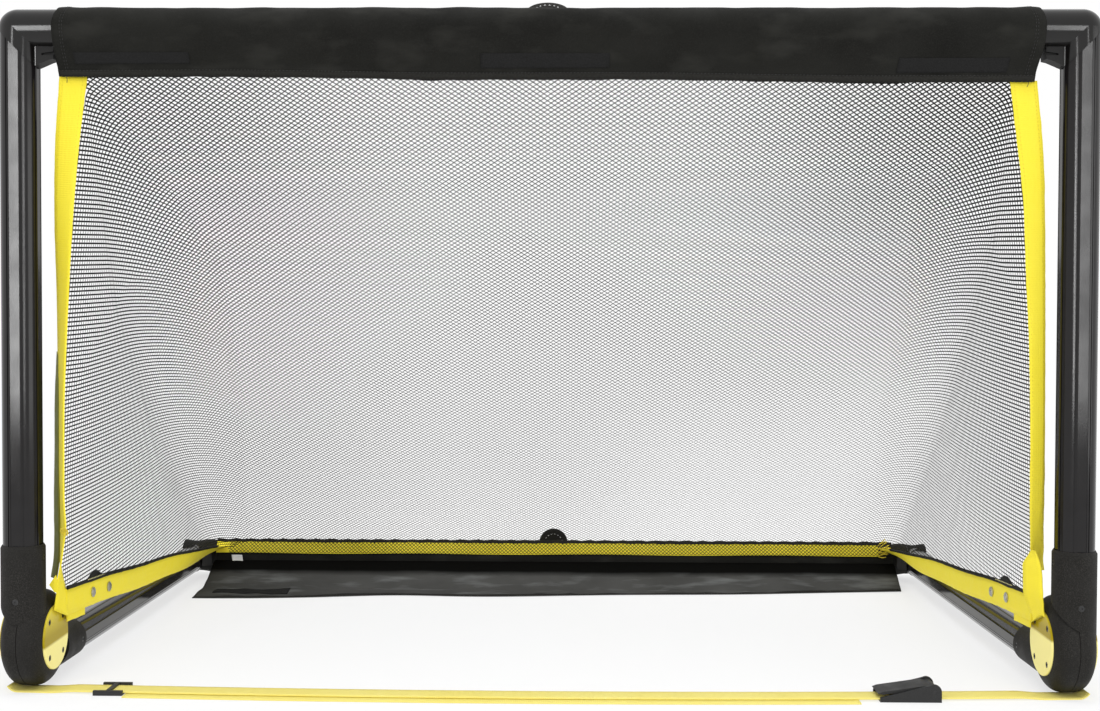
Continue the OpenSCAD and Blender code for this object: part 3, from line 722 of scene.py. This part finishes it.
def band_ribbon(name, side, rows, finish="webbing"):
    """Webbing through given rows, with its middle line and the direction and share of its width."""
    line = smooth_line(rows, 140)
    points = at_post(line[:, 0], line[:, 1], line[:, 2], side)
    turn = np.radians(line[:, 3])
    across = mirrored(xyz(np.cos(turn), np.sin(turn), 0), side)
    taper = line[:, 4] if line.shape[1] > 4 else np.ones(len(line))
    made = ribbon(name, points, across, BAND_W, WEB_T, FRONT, finish, wear=0.5 * MM, taper=taper)
    return made, points, across * taper[:, None]


def end_on_cap(band):
    """Draws the foot of a band up to the round rim of its hinge cap."""
    low = min(v.co.z for v in band.data.vertices)
    for v in band.data.vertices:
        if v.co.z < FOOT_TOP:
            lap = LAP_FRONT + (LAP_BACK - LAP_FRONT) * smoothstep((v.co.y - LAP_FROM) / LAP_OVER)
            rim = HINGE.z + math.sqrt(max(CAP_R ** 2 - (v.co.y - HINGE.y) ** 2, 0)) - lap
            v.co.z = FOOT_TOP - (FOOT_TOP - v.co.z) * (FOOT_TOP - rim) / (FOOT_TOP - low)


def band_stitching(word, points, across, seam_at=0.36):
    normal = unit(np.cross(across, np.gradient(points, axis=0)))
    toward = np.where(normal[:, 1:2] > 0, -1, 1) * normal
    high = points[:, 2] > FOOT_TOP + 30 * MM
    seams = [points + across * k * BAND_W + toward * WEB_T / 2 for k in (-seam_at, seam_at)]
    lines = [(seam[high], toward[high]) for seam in seams]
    return stitches(f"{word}_band_stitching", lines, "yellow_thread", FRONT, pitch=4.2 * MM, width=0.5 * MM)


def flatten_to_post(parts):
    """Gives upright bands and what is sewn to them meshes of their own."""
    for part in parts:
        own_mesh(part)


def hem_thread(word, x, rise):
    """End of sewing thread that hangs from the hem over a side band."""
    top = np.array([x, POST_Y - 9 * MM, BAR_Z - HEM_DROP + rise])
    t = np.linspace(0, 1, 8)[:, None]
    line = top + t * [-np.sign(x) * 1.5 * MM, 0, -9 * MM] + np.sin(3 * t) * [1 * MM, 0, 0]
    return loose_threads(f"{word}_hem_thread", [line], "black_thread", FRONT)


def add_tuft(at, wide=5 * MM, out=-2 * MM, high=6 * MM, curl=1.2 * MM):
    """Fan of curled threads about a point."""
    t = np.linspace(0, 1, 7)[:, None]
    lines = [at + t * [wide * math.cos(a), out, high * math.sin(a)] + np.sin(4 * t + a) * [curl, 0, curl]
             for a in np.arange(11) * 0.6]
    return loose_threads("left_band_tuft", lines, "yellow_thread", FRONT, 1.5 * MM)


def add_left_band():
    band, points, across = band_ribbon("left_side_webbing", -1, LEFT_BAND)
    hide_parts("left_side_band")
    end_on_cap(band)
    # The band's back face, in webbing darkened as painted shade
    back, _, _ = band_ribbon("left_band_shaded_back", -1, LEFT_BACK, "shaded_webbing")
    height, away = np.array(LEFT_TAB).T
    tab = at_post(height, away, TAB_DEPTH, -1)
    corners = [list(range(len(tab)))]
    tab = piece("left_band_tab", tab, corners, "webbing", FRONT, tab[:, [2, 0]], smooth=False)
    solidify(tab, WEB_T)
    tuft = add_tuft(points[np.argmin(np.abs(points[:, 2] - TUFT_Z))] + TUFT_ASIDE)
    sewn = [band_stitching("left", points, across), back, tab, tuft, hem_thread("left", *LEFT_THREAD)]
    flatten_to_post([band, *sewn])


def add_right_band():
    band, points, across = band_ribbon("right_side_webbing", 1, RIGHT_BAND)
    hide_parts("right_side_band")
    sewn = [band_stitching("right", points, across), hem_thread("right", *RIGHT_THREAD)]
    foot, points, _ = band_ribbon("right_side_fold", 1, RIGHT_FOLD)
    end_on_cap(foot)
    flatten_to_post([band, foot, *sewn])


# Floor bands: on edge at the front, flat at the rear corner
BAND_FRONT = Vector((POST_X - 33 * MM, HINGE.y + 13 * MM, ARM_Z + 62 * MM))
BAND_REAR = Vector((POST_X - 44 * MM, REAR_Y - 22 * MM, ARM_Z + 15 * MM))
BAND_TURN = math.radians(72)
BAND_WAVE, BAND_WAVE_LENGTH = 0.8 * MM, 38 * MM
# Black hem along its top: width, thickness, height, how far in it lies and how far before the rear it stops
FLOOR_HEM_W, FLOOR_HEM_T, HEM_UP, HEM_IN, HEM_STOP = 4.6 * MM, 2.4 * MM, 1.2 * MM, 1.5 * MM, 62 * MM
# Where the hem is bunched, over what length, and how much higher and wider
LEFT_BUNCH, RIGHT_BUNCH = -218 * MM, -222 * MM
BUNCH_HALF, BUNCH_UP, BUNCH_WIDER = 17 * MM, 3.2 * MM, 1.7
# Dashes of thread about the bunch: half their length, and how far up and in they lie
DASHES_HALF, DASH_UP, DASH_IN = 32 * MM, 2.8 * MM, 3.4 * MM
# Turned-in front end: rows of the band's line, width, and how far down and out it lies
TURN_ROWS, TURN_W, TURN_DOWN, TURN_OUT = slice(2, 18), 13 * MM, 17 * MM, 1.8 * MM


def floor_band_line(count):
    """Middle line of the right floor band and its direction across."""
    t = np.linspace(0, 1, count)
    turn = BAND_TURN * t ** 3
    across = xyz(-np.sin(turn), 0, np.cos(turn))
    return np.linspace(BAND_FRONT, BAND_REAR, count), across


def add_floor_band(word, side, bunch):
    """Band with a black hem along its top that is bunched in one place, and a turned-in front end."""
    line, across = floor_band_line(180)
    line[:, 2] += BAND_WAVE * np.sin(line[:, 1] / BAND_WAVE_LENGTH)

    def strip(name, points, rows, *form, **shape):
        return ribbon(f"{word}_floor_{name}", mirrored(points[rows], side), mirrored(across[rows], side),
                      *form, **shape)

    band = strip("webbing", line, slice(None), BAND_W, WEB_T, BASE, wear=0.4 * MM)
    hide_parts(f"{word}_floor_band")
    lump = np.exp(-((line[:, 1] - bunch) / BUNCH_HALF) ** 4)
    top = line + across * (BAND_W / 2 + HEM_UP + BUNCH_UP * lump)[:, None] - [HEM_IN, 0, 0]
    rows = line[:, 1] < BAND_REAR.y - HEM_STOP
    hem = strip("hem", top, rows, FLOOR_HEM_W, FLOOR_HEM_T, BASE, "hem", "cloth", wear=0.5 * MM,
                taper=(1 + BUNCH_WIDER * lump)[rows])
    dashes = line + across * (BAND_W / 2 + DASH_UP) - [DASH_IN, 0, 0]
    dashes = mirrored(dashes[np.abs(line[:, 1] - bunch) < DASHES_HALF], side)
    thread = stitches(f"{word}_floor_stitching", [(dashes, (-side, 0, 0.2))], "pale_thread", BASE,
                      length=2.2 * MM, pitch=4.6 * MM, width=1.6 * MM)
    low = line - across * TURN_DOWN + [TURN_OUT, 0, 0]
    layer = strip("turn", low, TURN_ROWS, TURN_W, WEB_T, BASE, wear=0.4 * MM)
    lower([band, hem, thread, layer])


# Net: one sheet of diamond mesh from the left band round the back to the right band. Its sides fold forward
# along the slope, so that one set of strands comes to run level there.
CELL_W = 7.8 * MM
CELL_H = 6.4 * MM
STRAND_W = 1.08 * MM
STRAND_DEEP = 0.2 * MM
NET_TOP = Vector((0, POST_Y - 4 * MM, BAR_Z - HEM_DROP + 6 * MM))
NET_LOW = Vector((0, REAR_Y - 16 * MM, ARM_Z + 27 * MM))
NET_LEN = (NET_LOW - NET_TOP).length
DOWN = (NET_LOW - NET_TOP) / NET_LEN
INTO = Vector((0, DOWN.z, -DOWN.y))
NET_SAG = 6 * MM
NET_NARROW = 0.05
NET_SPREAD = (0.98, 1.07)
FLANK_NARROW = 0.89
# Corners of the net at the top and at the ground, and the bends round them, which tighten at both ends
CORNER_TOP, CORNER_LOW = 508 * MM, 534 * MM
LEFT_BEND, RIGHT_BEND = 105 * MM, 75 * MM
BEND_LOSS, BEND_LOSS_FROM = 0.45, 0.45
BEND_LEAST, BEND_GROWTH = 2 * MM, 0.4
# The lattice's reach to each side, and where the back is split
NET_REACH = 1.4
NET_SPLIT = 178 * MM
# Front edges of the net behind the upright bands, in millimetres: height, distance from the middle, and depth
# behind the post axis on the left and on the right
NET_EDGE = np.array((
    (105, 547, 45, 46), (130, 548, 34, 46), (150, 545.5, 27, 41), (180, 545, 27.5, 33), (210, 544.5, 28, 29),
    (310, 539, 16, 16), (432, 532, 10, 10), (560, 521.5, 7, 7), (676, 510, 4, 4),
)) * MM
# How much thinner the strands get towards the ground and low on the right, and the shares of their width that
# level and steep ones have on the sides
LOW_LOSS, LIGHT_LOSS = 0.24, 0.27
LEVEL_SHARE, STEEP_SHARE = 1.2, 0.72


def floor_band_top(y):
    """Height of the floor band's upper edge at each y."""
    line, across = floor_band_line(40)
    return np.interp(y, line[:, 1], line[:, 2] + BAND_W / 2 * across[:, 2])


def net_edge(u, z):
    """Distance from the middle, and y, of the net's front edge at each height, on the side of u."""
    away, left, right = (np.interp(z, NET_EDGE[:, 0], NET_EDGE[:, k]) for k in (1, 2, 3))
    return away, POST_Y + np.where(u < 0, left, right)


def net_place(u, s):
    """Where a point of the net lies, and how far it is past its corner: u across from the middle, s down."""
    t = np.clip(s / NET_LEN, 0, 1)
    a = np.abs(u) * (1 - NET_NARROW * t)
    corner = CORNER_TOP + (CORNER_LOW - CORNER_TOP) * smoothstep(t)
    loss = BEND_LOSS * smoothstep((t - BEND_LOSS_FROM) / (1 - BEND_LOSS_FROM))
    bend = np.where(u < 0, LEFT_BEND, RIGHT_BEND) * (1 - loss)
    bend = np.minimum(bend, BEND_GROWTH * np.maximum(s, 0) + BEND_LEAST)
    flat = corner - bend
    arc = np.maximum(a - flat, 0) * FLANK_NARROW
    turn = np.minimum(arc / bend, math.pi / 2)
    inward = bend * (1 - np.cos(turn)) + np.maximum(arc - bend * math.pi / 2, 0)
    deep = inward + NET_SAG * np.sin(math.pi * t) * np.cos(turn)
    y = NET_TOP.y + DOWN.y * s + INTO.y * deep
    z = NET_TOP.z + DOWN.z * s + INTO.z * deep
    x = np.minimum(a, flat) + bend * np.sin(turn)
    fold_y = NET_TOP.y + DOWN.y * s + INTO.y * bend
    edge_x, edge_y = net_edge(u, z)
    gone = np.clip((fold_y - y) / np.maximum(fold_y - edge_y, 1 * MM), 0, 1)
    x = np.where(turn >= math.pi / 2, corner + (edge_x - corner) * gone, x)
    return xyz(np.sign(u) * x, y, z), arc - bend * math.pi / 4


def in_goal(u, s):
    """Whether a point of the net lies behind the upright bands and above the floor bands."""
    place, past = net_place(u, s)
    behind = place[:, 1] >= net_edge(u, place[:, 2])[1]
    return (s <= NET_LEN) & ((past < 0) | (behind & (place[:, 2] >= floor_band_top(place[:, 1]))))


def strand_width(u, s, lean):
    """Strands are heaviest in the upper corners and lightest low on the right; on the sides the level ones
    stand out."""
    t = np.clip(s / NET_LEN, 0, 1)
    outer = smoothstep((np.abs(u) - 0.12) / 0.4)
    upper = np.clip(1 - 1.7 * t, 0, 1)
    heavy = outer * np.where(u < 0, 0.27 + 0.3 * upper, 0.74 * upper)
    light = smoothstep((u + 0.05) / 0.3) * smoothstep((0.56 - u) / 0.14) * smoothstep((t - 0.45) / 0.4)
    width = STRAND_W * (1 + heavy - LOW_LOSS * t) * (1 - LIGHT_LOSS * light)
    side = smoothstep(net_place(u, s)[1] / (60 * MM) + 0.5)
    share = np.where(np.sign(u) == -lean, LEVEL_SHARE, STEEP_SHARE)
    return width * (1 + (share - 1) * side)


def strands(place, inside, half_u, row_at, columns, width):
    """Flat strands along both diagonals of a lattice, where inside(u, s) holds, as verts and faces."""
    i, j = np.meshgrid(np.arange(-columns, columns + 1), np.arange(len(row_at)), indexing="ij")
    keep = (i + j) % 2 == 0
    i, j = i[keep], j[keep]
    u, s = i * half_u, row_at[j]
    keep = inside(u, s)
    i, j, u, s = i[keep], j[keep], u[keep], s[keep]
    index = {key: n for n, key in enumerate(zip(i.tolist(), j.tolist()))}
    here = place(u, s)
    step = 0.4 * half_u
    du = place(u + step, s) - place(u - step, s)
    ds = place(u, s + step) - place(u, s - step)
    normal = unit(np.cross(du, ds))
    rise = row_at[1] - row_at[0]
    verts, faces = [], []
    for lean in (1, -1):
        go = unit(lean * du * half_u + ds * rise)
        out = np.cross(go, normal) * width(u, s, lean)[:, None] / 2
        base = len(verts) * len(here) * 3
        foot = here - normal * STRAND_DEEP / 2
        verts.append(np.stack([here + normal * STRAND_DEEP, foot + out, foot - out], axis=1).reshape(-1, 3))
        nexts = np.array([index.get((a + lean, b + 1), -1) for a, b in zip(i.tolist(), j.tolist())])
        first = np.flatnonzero(nexts >= 0)
        a, b = base + 3 * first, base + 3 * nexts[first]
        for k in range(3):
            m = (k + 1) % 3
            faces.append(np.stack([a + k, a + m, b + m, b + k], axis=1))
    used, faces = np.unique(np.concatenate(faces), return_inverse=True)
    return np.concatenate(verts)[used], faces.reshape(-1, 4)


def net_rows():
    """Places of the half rows down the slope: the cells are drawn out towards the ground."""
    count = int(NET_LEN / (CELL_H / 2))
    j = np.arange(count + 1)
    first, last = NET_SPREAD
    rows = CELL_H / 2 * (first * j + 0.5 * (last - first) * j ** 2 / count)
    return rows[rows <= NET_LEN]


def add_net(name, inside):
    half = CELL_W / 2
    verts, faces = strands(lambda u, s: net_place(u, s)[0], inside, half, net_rows(), int(NET_REACH / half),
                           strand_width)
    return piece(name, verts, faces, "net", smooth=False)


def add_nets():
    step = CELL_W / 2

    def back(low, high):
        return lambda u, s: (u >= low) & (u <= high) & (net_place(u, s)[1] <= 2 * step) & in_goal(u, s)

    def flank(side):
        return lambda u, s: (np.sign(u) == side) & (net_place(u, s)[1] >= 0) & in_goal(u, s)

    ranges = (("left", -NET_REACH, -NET_SPLIT + step), ("middle", -NET_SPLIT, NET_SPLIT),
              ("right", NET_SPLIT - step, NET_REACH))
    for word, low, high in ranges:
        net = add_net(f"net_back_{word}", back(low, high))
        if word == "middle":
            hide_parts("net_back")
        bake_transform(net)
    for word, side in (("left", -1), ("right", 1)):
        net = add_net(f"net_{word}_flank", flank(side))
        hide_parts(f"net_{word}")
        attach(net, BASE)
        lower([net])


# Rear sleeve: how far round the bar it starts, its folds, how close it lies, and its hem's height
REAR_START = math.radians(212)
REAR_FOLD, REAR_CLOSE, REAR_HEM_Z = 0.8 * MM, 0.5 * MM, 1.2 * MM


def rear_section(count=54):
    """Section of the rear sleeve from the lower front over the bar and down the back to the ground."""
    angles = np.linspace(REAR_START, 0, count)
    arc = REAR_R * np.stack([np.cos(angles), np.sin(angles)], axis=1)
    drop = np.linspace(0, 1, 12)[1:, None] * [[0, REAR_HEM_Z - ARM_Z]]
    return np.concatenate([arc, arc[-1] + drop])


def add_rear_sleeve():
    section = rear_section()
    out = outward(section)
    grid = swept(np.linspace(-REAR_HALF, REAR_HALF, 260), section)
    lift = REAR_FOLD * wavy(grid.reshape(-1, 3), 22, 8.4).reshape(grid.shape[:2]) - REAR_CLOSE
    grid[..., 1] += out[:, :1] * lift + REAR_Y
    grid[..., 2] = np.maximum(grid[..., 2] + out[:, 1:] * lift + ARM_Z, REAR_HEM_Z / 2)
    sleeve = panel("rear_sleeve_cloth", grid, 1.0 * MM, BASE)
    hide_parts("rear_sleeve")


# Ground flap: its half widths at the front and at the bar, its edges and its height at the bar
FLAP_HALF = 530 * MM
FLAP_BACK = REAR_Y - REAR_R - 0.5 * MM
FLAP_BACK_HALF = REAR_HALF - 2 * MM
FLAP_FRONT_RIGHT = FLAP_FRONT + 75 * MM
FLAP_RISE = ARM_Z - 3 * MM
FLAP_CLIMB_FROM, FLAP_CLIMB_OVER = FLAP_BACK - 95 * MM, 100 * MM
FLAP_LEVEL, FLAP_LEAST = 1.6 * MM, 1.2 * MM
# Rows from the flap's front and columns from its left that its tape and its hem cover
TAPE_ROWS, TAPE_COLS, FLAP_HEM_ROWS, FLAP_SEAM_ROW = slice(9, 22), slice(6, 34), 4, 2


def flap_edge(x, dip_at=-230 * MM, dip_half=90 * MM, dip_deep=12 * MM, wave=2.5 * MM, wave_length=60 * MM):
    """Front edge of the flap: nearer on the left, with a dip and small waves."""
    t = (x + FLAP_HALF) / (2 * FLAP_HALF)
    dip = dip_deep * np.exp(-((x - dip_at) / dip_half) ** 2)
    return FLAP_FRONT + (FLAP_FRONT_RIGHT - FLAP_FRONT) * t ** 1.3 + dip + wave * np.sin(x / wave_length)


def flap_height(x, y, t, broad=2.6 * MM, fine=1.0 * MM, crease=4 * MM):
    """Creased cloth that lies on the ground and climbs to the front of the bar; t is 0 at its front edge."""
    spots = xyz(x, y, 0).reshape(-1, 3)
    turned = spots[:, [1, 0, 2]]
    folds = broad * wavy(spots * (0.5, 1.5, 1), 16, 2.2) + fine * wavy(spots + 0.7 * turned, 38, 6.1)
    folds += crease * (0.5 - np.abs(wavy(spots * (0.8, 1, 1) + turned * (0, 0.9, 0), 11, 9.3)))
    climb = FLAP_RISE * smoothstep((y - FLAP_CLIMB_FROM) / FLAP_CLIMB_OVER)
    free = smoothstep(t / 0.08) * (1 - smoothstep((t - 0.75) / 0.25))
    return FLAP_LEVEL + climb + folds.reshape(x.shape) * free


def add_flap():
    x = np.linspace(-1, 1, 260)
    t = np.linspace(0, 1, 60)[:, None]
    front = flap_edge(x * FLAP_HALF)[None, :]
    y = front + (FLAP_BACK - front) * t
    wide = x[None, :] * (FLAP_HALF + (FLAP_BACK_HALF - FLAP_HALF) * t)
    z = np.maximum(flap_height(wide, y, np.broadcast_to(t, y.shape)), FLAP_LEAST)
    grid = xyz(wide, y, z)
    flap = panel("ground_flap_cloth", grid, 0.9 * MM, BASE, "coated_cloth")
    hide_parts("rear_flap")
    up = np.array([0, 0, 1.0])
    strip = grid[TAPE_ROWS, TAPE_COLS] + 0.9 * MM * up
    tape = panel("flap_tape", strip, 0.8 * MM, BASE, "hook_tape")
    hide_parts("flap_hook_strip")
    edge = panel("flap_hem", grid[:FLAP_HEM_ROWS] + 0.5 * MM * up, 0.5 * MM, BASE, "hem")
    seam = grid[FLAP_SEAM_ROW] + 0.6 * MM * up
    thread = stitches("flap_stitching", [(seam, up)], "black_thread", BASE)


# Rear webbing: angles round the bar of its lower and upper edge, and how far each stands off the sleeve
WEB_LOW, WEB_HIGH = math.radians(158), math.radians(119)
WEB_LOW_OFF, WEB_HIGH_OFF = 1.8 * MM, 6.5 * MM
# How far before the sleeve's ends it stops on the left and on the right, and the mesh over it
WEB_START, WEB_END = 3 * MM, 24 * MM
REAR_MESH_U, REAR_MESH_ROWS, REAR_MESH_OFF, REAR_STRAND_W = 3.0 * MM, 8, 1.6 * MM, 0.8 * MM


def webbing_edges():
    """Lower and upper edge of the rear webbing, as (y, z)."""
    return [np.array([REAR_Y + (REAR_R + off) * math.cos(a), ARM_Z + (REAR_R + off) * math.sin(a)])
            for a, off in ((WEB_LOW, WEB_LOW_OFF), (WEB_HIGH, WEB_HIGH_OFF))]


def webbing_frays(end, up):
    """Loose threads at the right end of the rear webbing, spread over its width."""
    t = np.linspace(0, 1, 8)[:, None]
    lines = []
    for k in np.arange(-9, 10, 2):
        root = end + np.array([-1 * MM, *(up * k * MM)])
        reach = np.array([20 - abs(k), -3, 5 + 0.7 * k]) * MM
        lines.append(root + t * reach + np.sin(3 * t + k) * [0, 0, 1.4 * MM])
    return loose_threads("rear_webbing_frays", lines, "yellow_thread", BASE, 1.7 * MM)


def add_rear_webbing():
    """Flat webbing that the net draws up off the sleeve, under a black hem; the net goes on over it."""
    low, high = webbing_edges()
    width = np.linalg.norm(high - low)
    up = (high - low) / width
    front = np.array([-up[1], up[0]])
    x = np.linspace(-REAR_HALF + WEB_START, REAR_HALF - WEB_END, 240)
    y, z = (low + high) / 2
    points = xyz(x, y, z + 0.6 * MM * np.sin(x / (45 * MM)))
    band = ribbon("rear_webbing", points, (0, *up), width, 1.4 * MM, BASE)
    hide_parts("rear_hem_band")
    x = np.linspace(-REAR_HALF + WEB_START, REAR_HALF - WEB_START, 240)
    y, z = high + 1.5 * MM * up
    upper = xyz(x, y, z + 0.5 * MM * np.sin(x / (4.1 * MM)))
    hem = ribbon("net_hem", upper, (0, *up), 6 * MM, 2.8 * MM, BASE, "hem", "cloth", wear=0.8 * MM)

    def mesh_place(u, s):
        at = high + front * REAR_MESH_OFF - s[:, None] * up
        return xyz(u, at[:, 0], at[:, 1])

    half = REAR_HALF - WEB_END
    rows = np.linspace(0, width, REAR_MESH_ROWS)
    verts, faces = strands(mesh_place, lambda u, s: np.abs(u) < half, REAR_MESH_U, rows,
                           int(half / REAR_MESH_U), lambda u, s, lean: 0 * u + REAR_STRAND_W)
    mesh = piece("rear_webbing_mesh", verts, faces, "net", BASE, smooth=False)
    frays = webbing_frays(points[-1], up)
    lower([band, hem, mesh, frays])


def add_corner_patch(word, side, wrap=(232, -52), overlap=4 * MM, pucker=1.2 * MM, seam_col=12, seam_rows=22):
    """Cloth cuff round the rear corner, pinched in under the elbow."""
    low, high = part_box(f"{word}_corner_patch")
    x = np.linspace(REAR_HALF - overlap, max(abs(low.x), abs(high.x)), 26)
    a = np.radians(np.linspace(*wrap, 48))[:, None]
    radius = REAR_R + 0.7 * MM + pucker * np.sin(x / (7 * MM) + 3 * a)
    y = REAR_Y + radius * np.cos(a)
    z = np.maximum(ARM_Z + radius * np.sin(a), 1 * MM)
    grid = xyz(side * x, y, z)
    patch = panel(f"{word}_corner_cloth", grid, 1.2 * MM, BASE)
    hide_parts(f"{word}_corner_patch")
    round_bar = grid[:, seam_col]
    seam = round_bar[:seam_rows]
    out = unit(seam - [side * x[seam_col], REAR_Y, ARM_Z])
    thread = stitches(f"{word}_corner_stitching", [(seam + out * 0.4 * MM, out)], "white_thread", BASE,
                      length=2.2 * MM, pitch=4.4 * MM)


# How far each carry loop tips back
CROSSBAR_LOOP_LEAN, REAR_LOOP_LEAN = math.radians(53), math.radians(8)


def add_carry_loop(name, node, body, lean, swell=1.2 * MM, swell_at=0.85, swell_over=0.18, ring_at=0.62):
    """Half round of folded webbing with a swollen rim and a ring of light stitches, on its sleeve."""
    low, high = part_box(node)
    radius = (high.x - low.x) / 2
    centre = np.array([0, (low.y + high.y) / 2, low.z + 0.5 * MM])
    back, rise = math.sin(lean), math.cos(lean)
    a, r = np.meshgrid(np.linspace(0, math.pi, 41), np.linspace(0.04, 1, 12) * radius, indexing="ij")
    rim = swell * np.exp(-((r / radius - swell_at) / swell_over) ** 2)
    up = r * np.sin(a)
    grid = centre + xyz(r * np.cos(a), up * back - rim * rise, up * rise + rim * back)
    loop = panel(name, grid, 2.2 * MM, body, "hem")
    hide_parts(node)
    arc = np.linspace(0.1, math.pi - 0.1, 40)
    up = ring_at * radius * np.sin(arc)
    ring = centre + xyz(ring_at * radius * np.cos(arc), up * back, up * rise)
    toward = np.array([0, -rise, back])
    thread = stitches(f"{name}_stitching", [(ring + toward * 1.2 * MM, toward)], "white_thread", body,
                      length=3 * MM, pitch=5.4 * MM, width=1.9 * MM)
    return [loop, thread]


def add_label(left=-512 * MM, wide=17 * MM, fall=10 * MM, above=7 * MM):
    """Blank sewn-in tag at the left of the rear bar."""
    u, v = np.meshgrid(np.linspace(0, 1, 9), np.linspace(0, 1, 7), indexing="ij")
    x = left + wide * u + 2 * MM * v
    y = REAR_Y - REAR_R - 1.8 * MM - 3 * MM * v ** 2 + 0.8 * MM * np.sin(4 * u)
    z = ARM_Z + above - fall * v
    tag = panel("blank_tag", xyz(x, y, z), 0.4 * MM, BASE, "label")


# Ground strap, its turned-up ends (bend radius, and degrees from and to) and its loose tail
STRAP_FOOT_Y = HINGE.y - 17 * MM
STRAP_BOW = 19 * MM
STRAP_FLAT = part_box("ground_strap")[1].x
STRAP_Z, STRAP_EASE = 1.9 * MM, 30 * MM
STRAP_BEND, STRAP_TURN = 14 * MM, (4, 56)
STRAP_W = 28 * MM
TAIL_SHIFT, TAIL_Z, TAIL_T = 12 * MM, 0.75 * MM, 1.4 * MM
STRAP_ACROSS = (0, 1, 0)


def strap_y(x):
    return STRAP_FOOT_Y - STRAP_BOW * (1 - (x / STRAP_FLAT) ** 2)


def add_strap():
    x = np.linspace(-STRAP_FLAT, STRAP_FLAT, 220)
    lift = STRAP_Z * smoothstep((POST_X - STRAP_EASE - np.abs(x)) / STRAP_EASE)
    line = xyz(x, strap_y(x), WEB_T / 2 + lift)
    a = np.radians(np.linspace(*STRAP_TURN, 12))
    turned_up = WEB_T / 2 + STRAP_BEND * (1 - np.cos(a))
    end = xyz(STRAP_FLAT + STRAP_BEND * np.sin(a), STRAP_FOOT_Y, turned_up)
    points = np.concatenate([mirrored(end, -1)[::-1], line, end])
    strap = ribbon("ground_strap_webbing", points, STRAP_ACROSS, STRAP_W, WEB_T, BASE, "strap", wear=0.3 * MM)
    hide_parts("ground_strap", "left_strap_end", "right_strap_end")
    low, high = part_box("strap_tail")
    x = np.linspace(low.x, high.x, 160)
    points = xyz(x, strap_y(x) - TAIL_SHIFT, TAIL_Z)
    tail = ribbon("strap_tail_webbing", points, STRAP_ACROSS, STRAP_W, TAIL_T, BASE, "strap", wear=0.3 * MM)
    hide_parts("strap_tail")


# Stage: a pale floor that glows more with distance, soft lamps and a white surround
FLOOR_SIZE = 14.0
FLOOR_NEAR, FLOOR_FAR = 0.9, 2.2
FLOOR_GLOW = 0.65


def add_floor():
    half = FLOOR_SIZE / 2
    mesh = bpy.data.meshes.new("floor")
    corners = [(-half, -half, 0), (half, -half, 0), (half, half, 0), (-half, half, 0)]
    mesh.from_pydata(corners, [], [(0, 1, 2, 3)])
    floor = add_object("floor", mesh)
    f = Finish("floor_pale", grey(0.9), 0.9, shine=0.1)
    away = f.node("ShaderNodeVectorMath", operation="LENGTH")
    f.links.new(f.places.outputs["Object"], away.inputs[0])
    fade = f.spread(away.outputs["Value"], FLOOR_GLOW, 1, FLOOR_NEAR, FLOOR_FAR)
    glow = f.node("ShaderNodeEmission", Strength=1.0)
    mix = f.node("ShaderNodeMixShader")
    f.links.new(fade, mix.inputs["Fac"])
    f.links.new(f.shader.outputs["BSDF"], mix.inputs[1])
    f.links.new(glow.outputs["Emission"], mix.inputs[2])
    f.links.new(mix.outputs["Shader"], f.nodes["Material Output"].inputs["Surface"])
    mesh.materials.append(f.material)


def add_surround():
    """Plain white on every side, at the strength that is white."""
    world = bpy.data.worlds.new("surround")
    bpy.context.scene.world = world
    world.use_nodes = True
    background = world.node_tree.nodes["Background"]
    background.inputs["Color"].default_value = (1, 1, 1, 1)
    background.inputs["Strength"].default_value = 1.0


# Lamps: name, place, size, watts; each is aimed at the middle of the goal
LAMPS = (
    ("left_strip", (-1.61, -3.0, 0.72), (0.18, 1.2), 14),
    ("right_strip", (1.51, -3.0, 0.72), (0.18, 1.2), 6.5),
    ("right_soft_box", (2.9, -1.5, 0.6), (1.6, 1.2), 14),
    ("top_soft_box", (0.0, -0.8, 3.2), (2.0, 2.2), 40),
)
LAMP_AIM = Vector((0, 0, 0.35))


def add_lamps():
    for name, place, size, watts in LAMPS:
        data = bpy.data.lights.new(name, "AREA")
        data.shape = "RECTANGLE"
        data.size, data.size_y = size
        data.energy = watts
        lamp = add_object(name, data)
        lamp.location = place
        lamp.rotation_euler = (LAMP_AIM - lamp.location).to_track_quat("-Z", "Y").to_euler()


def build():
    add_camera()
    dress_frame()
    add_crossbar_sleeve()
    add_left_band()
    add_right_band()
    add_floor_band("left", -1, LEFT_BUNCH)
    add_floor_band("right", 1, RIGHT_BUNCH)
    lower([frame["nodes"]["band_snaps"]])
    add_nets()
    add_rear_sleeve()
    add_flap()
    add_rear_webbing()
    add_corner_patch("left", -1)
    add_corner_patch("right", 1)
    add_carry_loop("crossbar_loop_webbing", "crossbar_loop", FRONT, CROSSBAR_LOOP_LEAN)
    rear_loop = add_carry_loop("rear_loop_webbing", "rear_loop", BASE, REAR_LOOP_LEAN)
    lower(rear_loop)
    add_label()
    add_strap()
    add_floor()
    add_surround()
    add_lamps()
    bpy.context.scene.view_settings.view_transform = "Standard"


build()
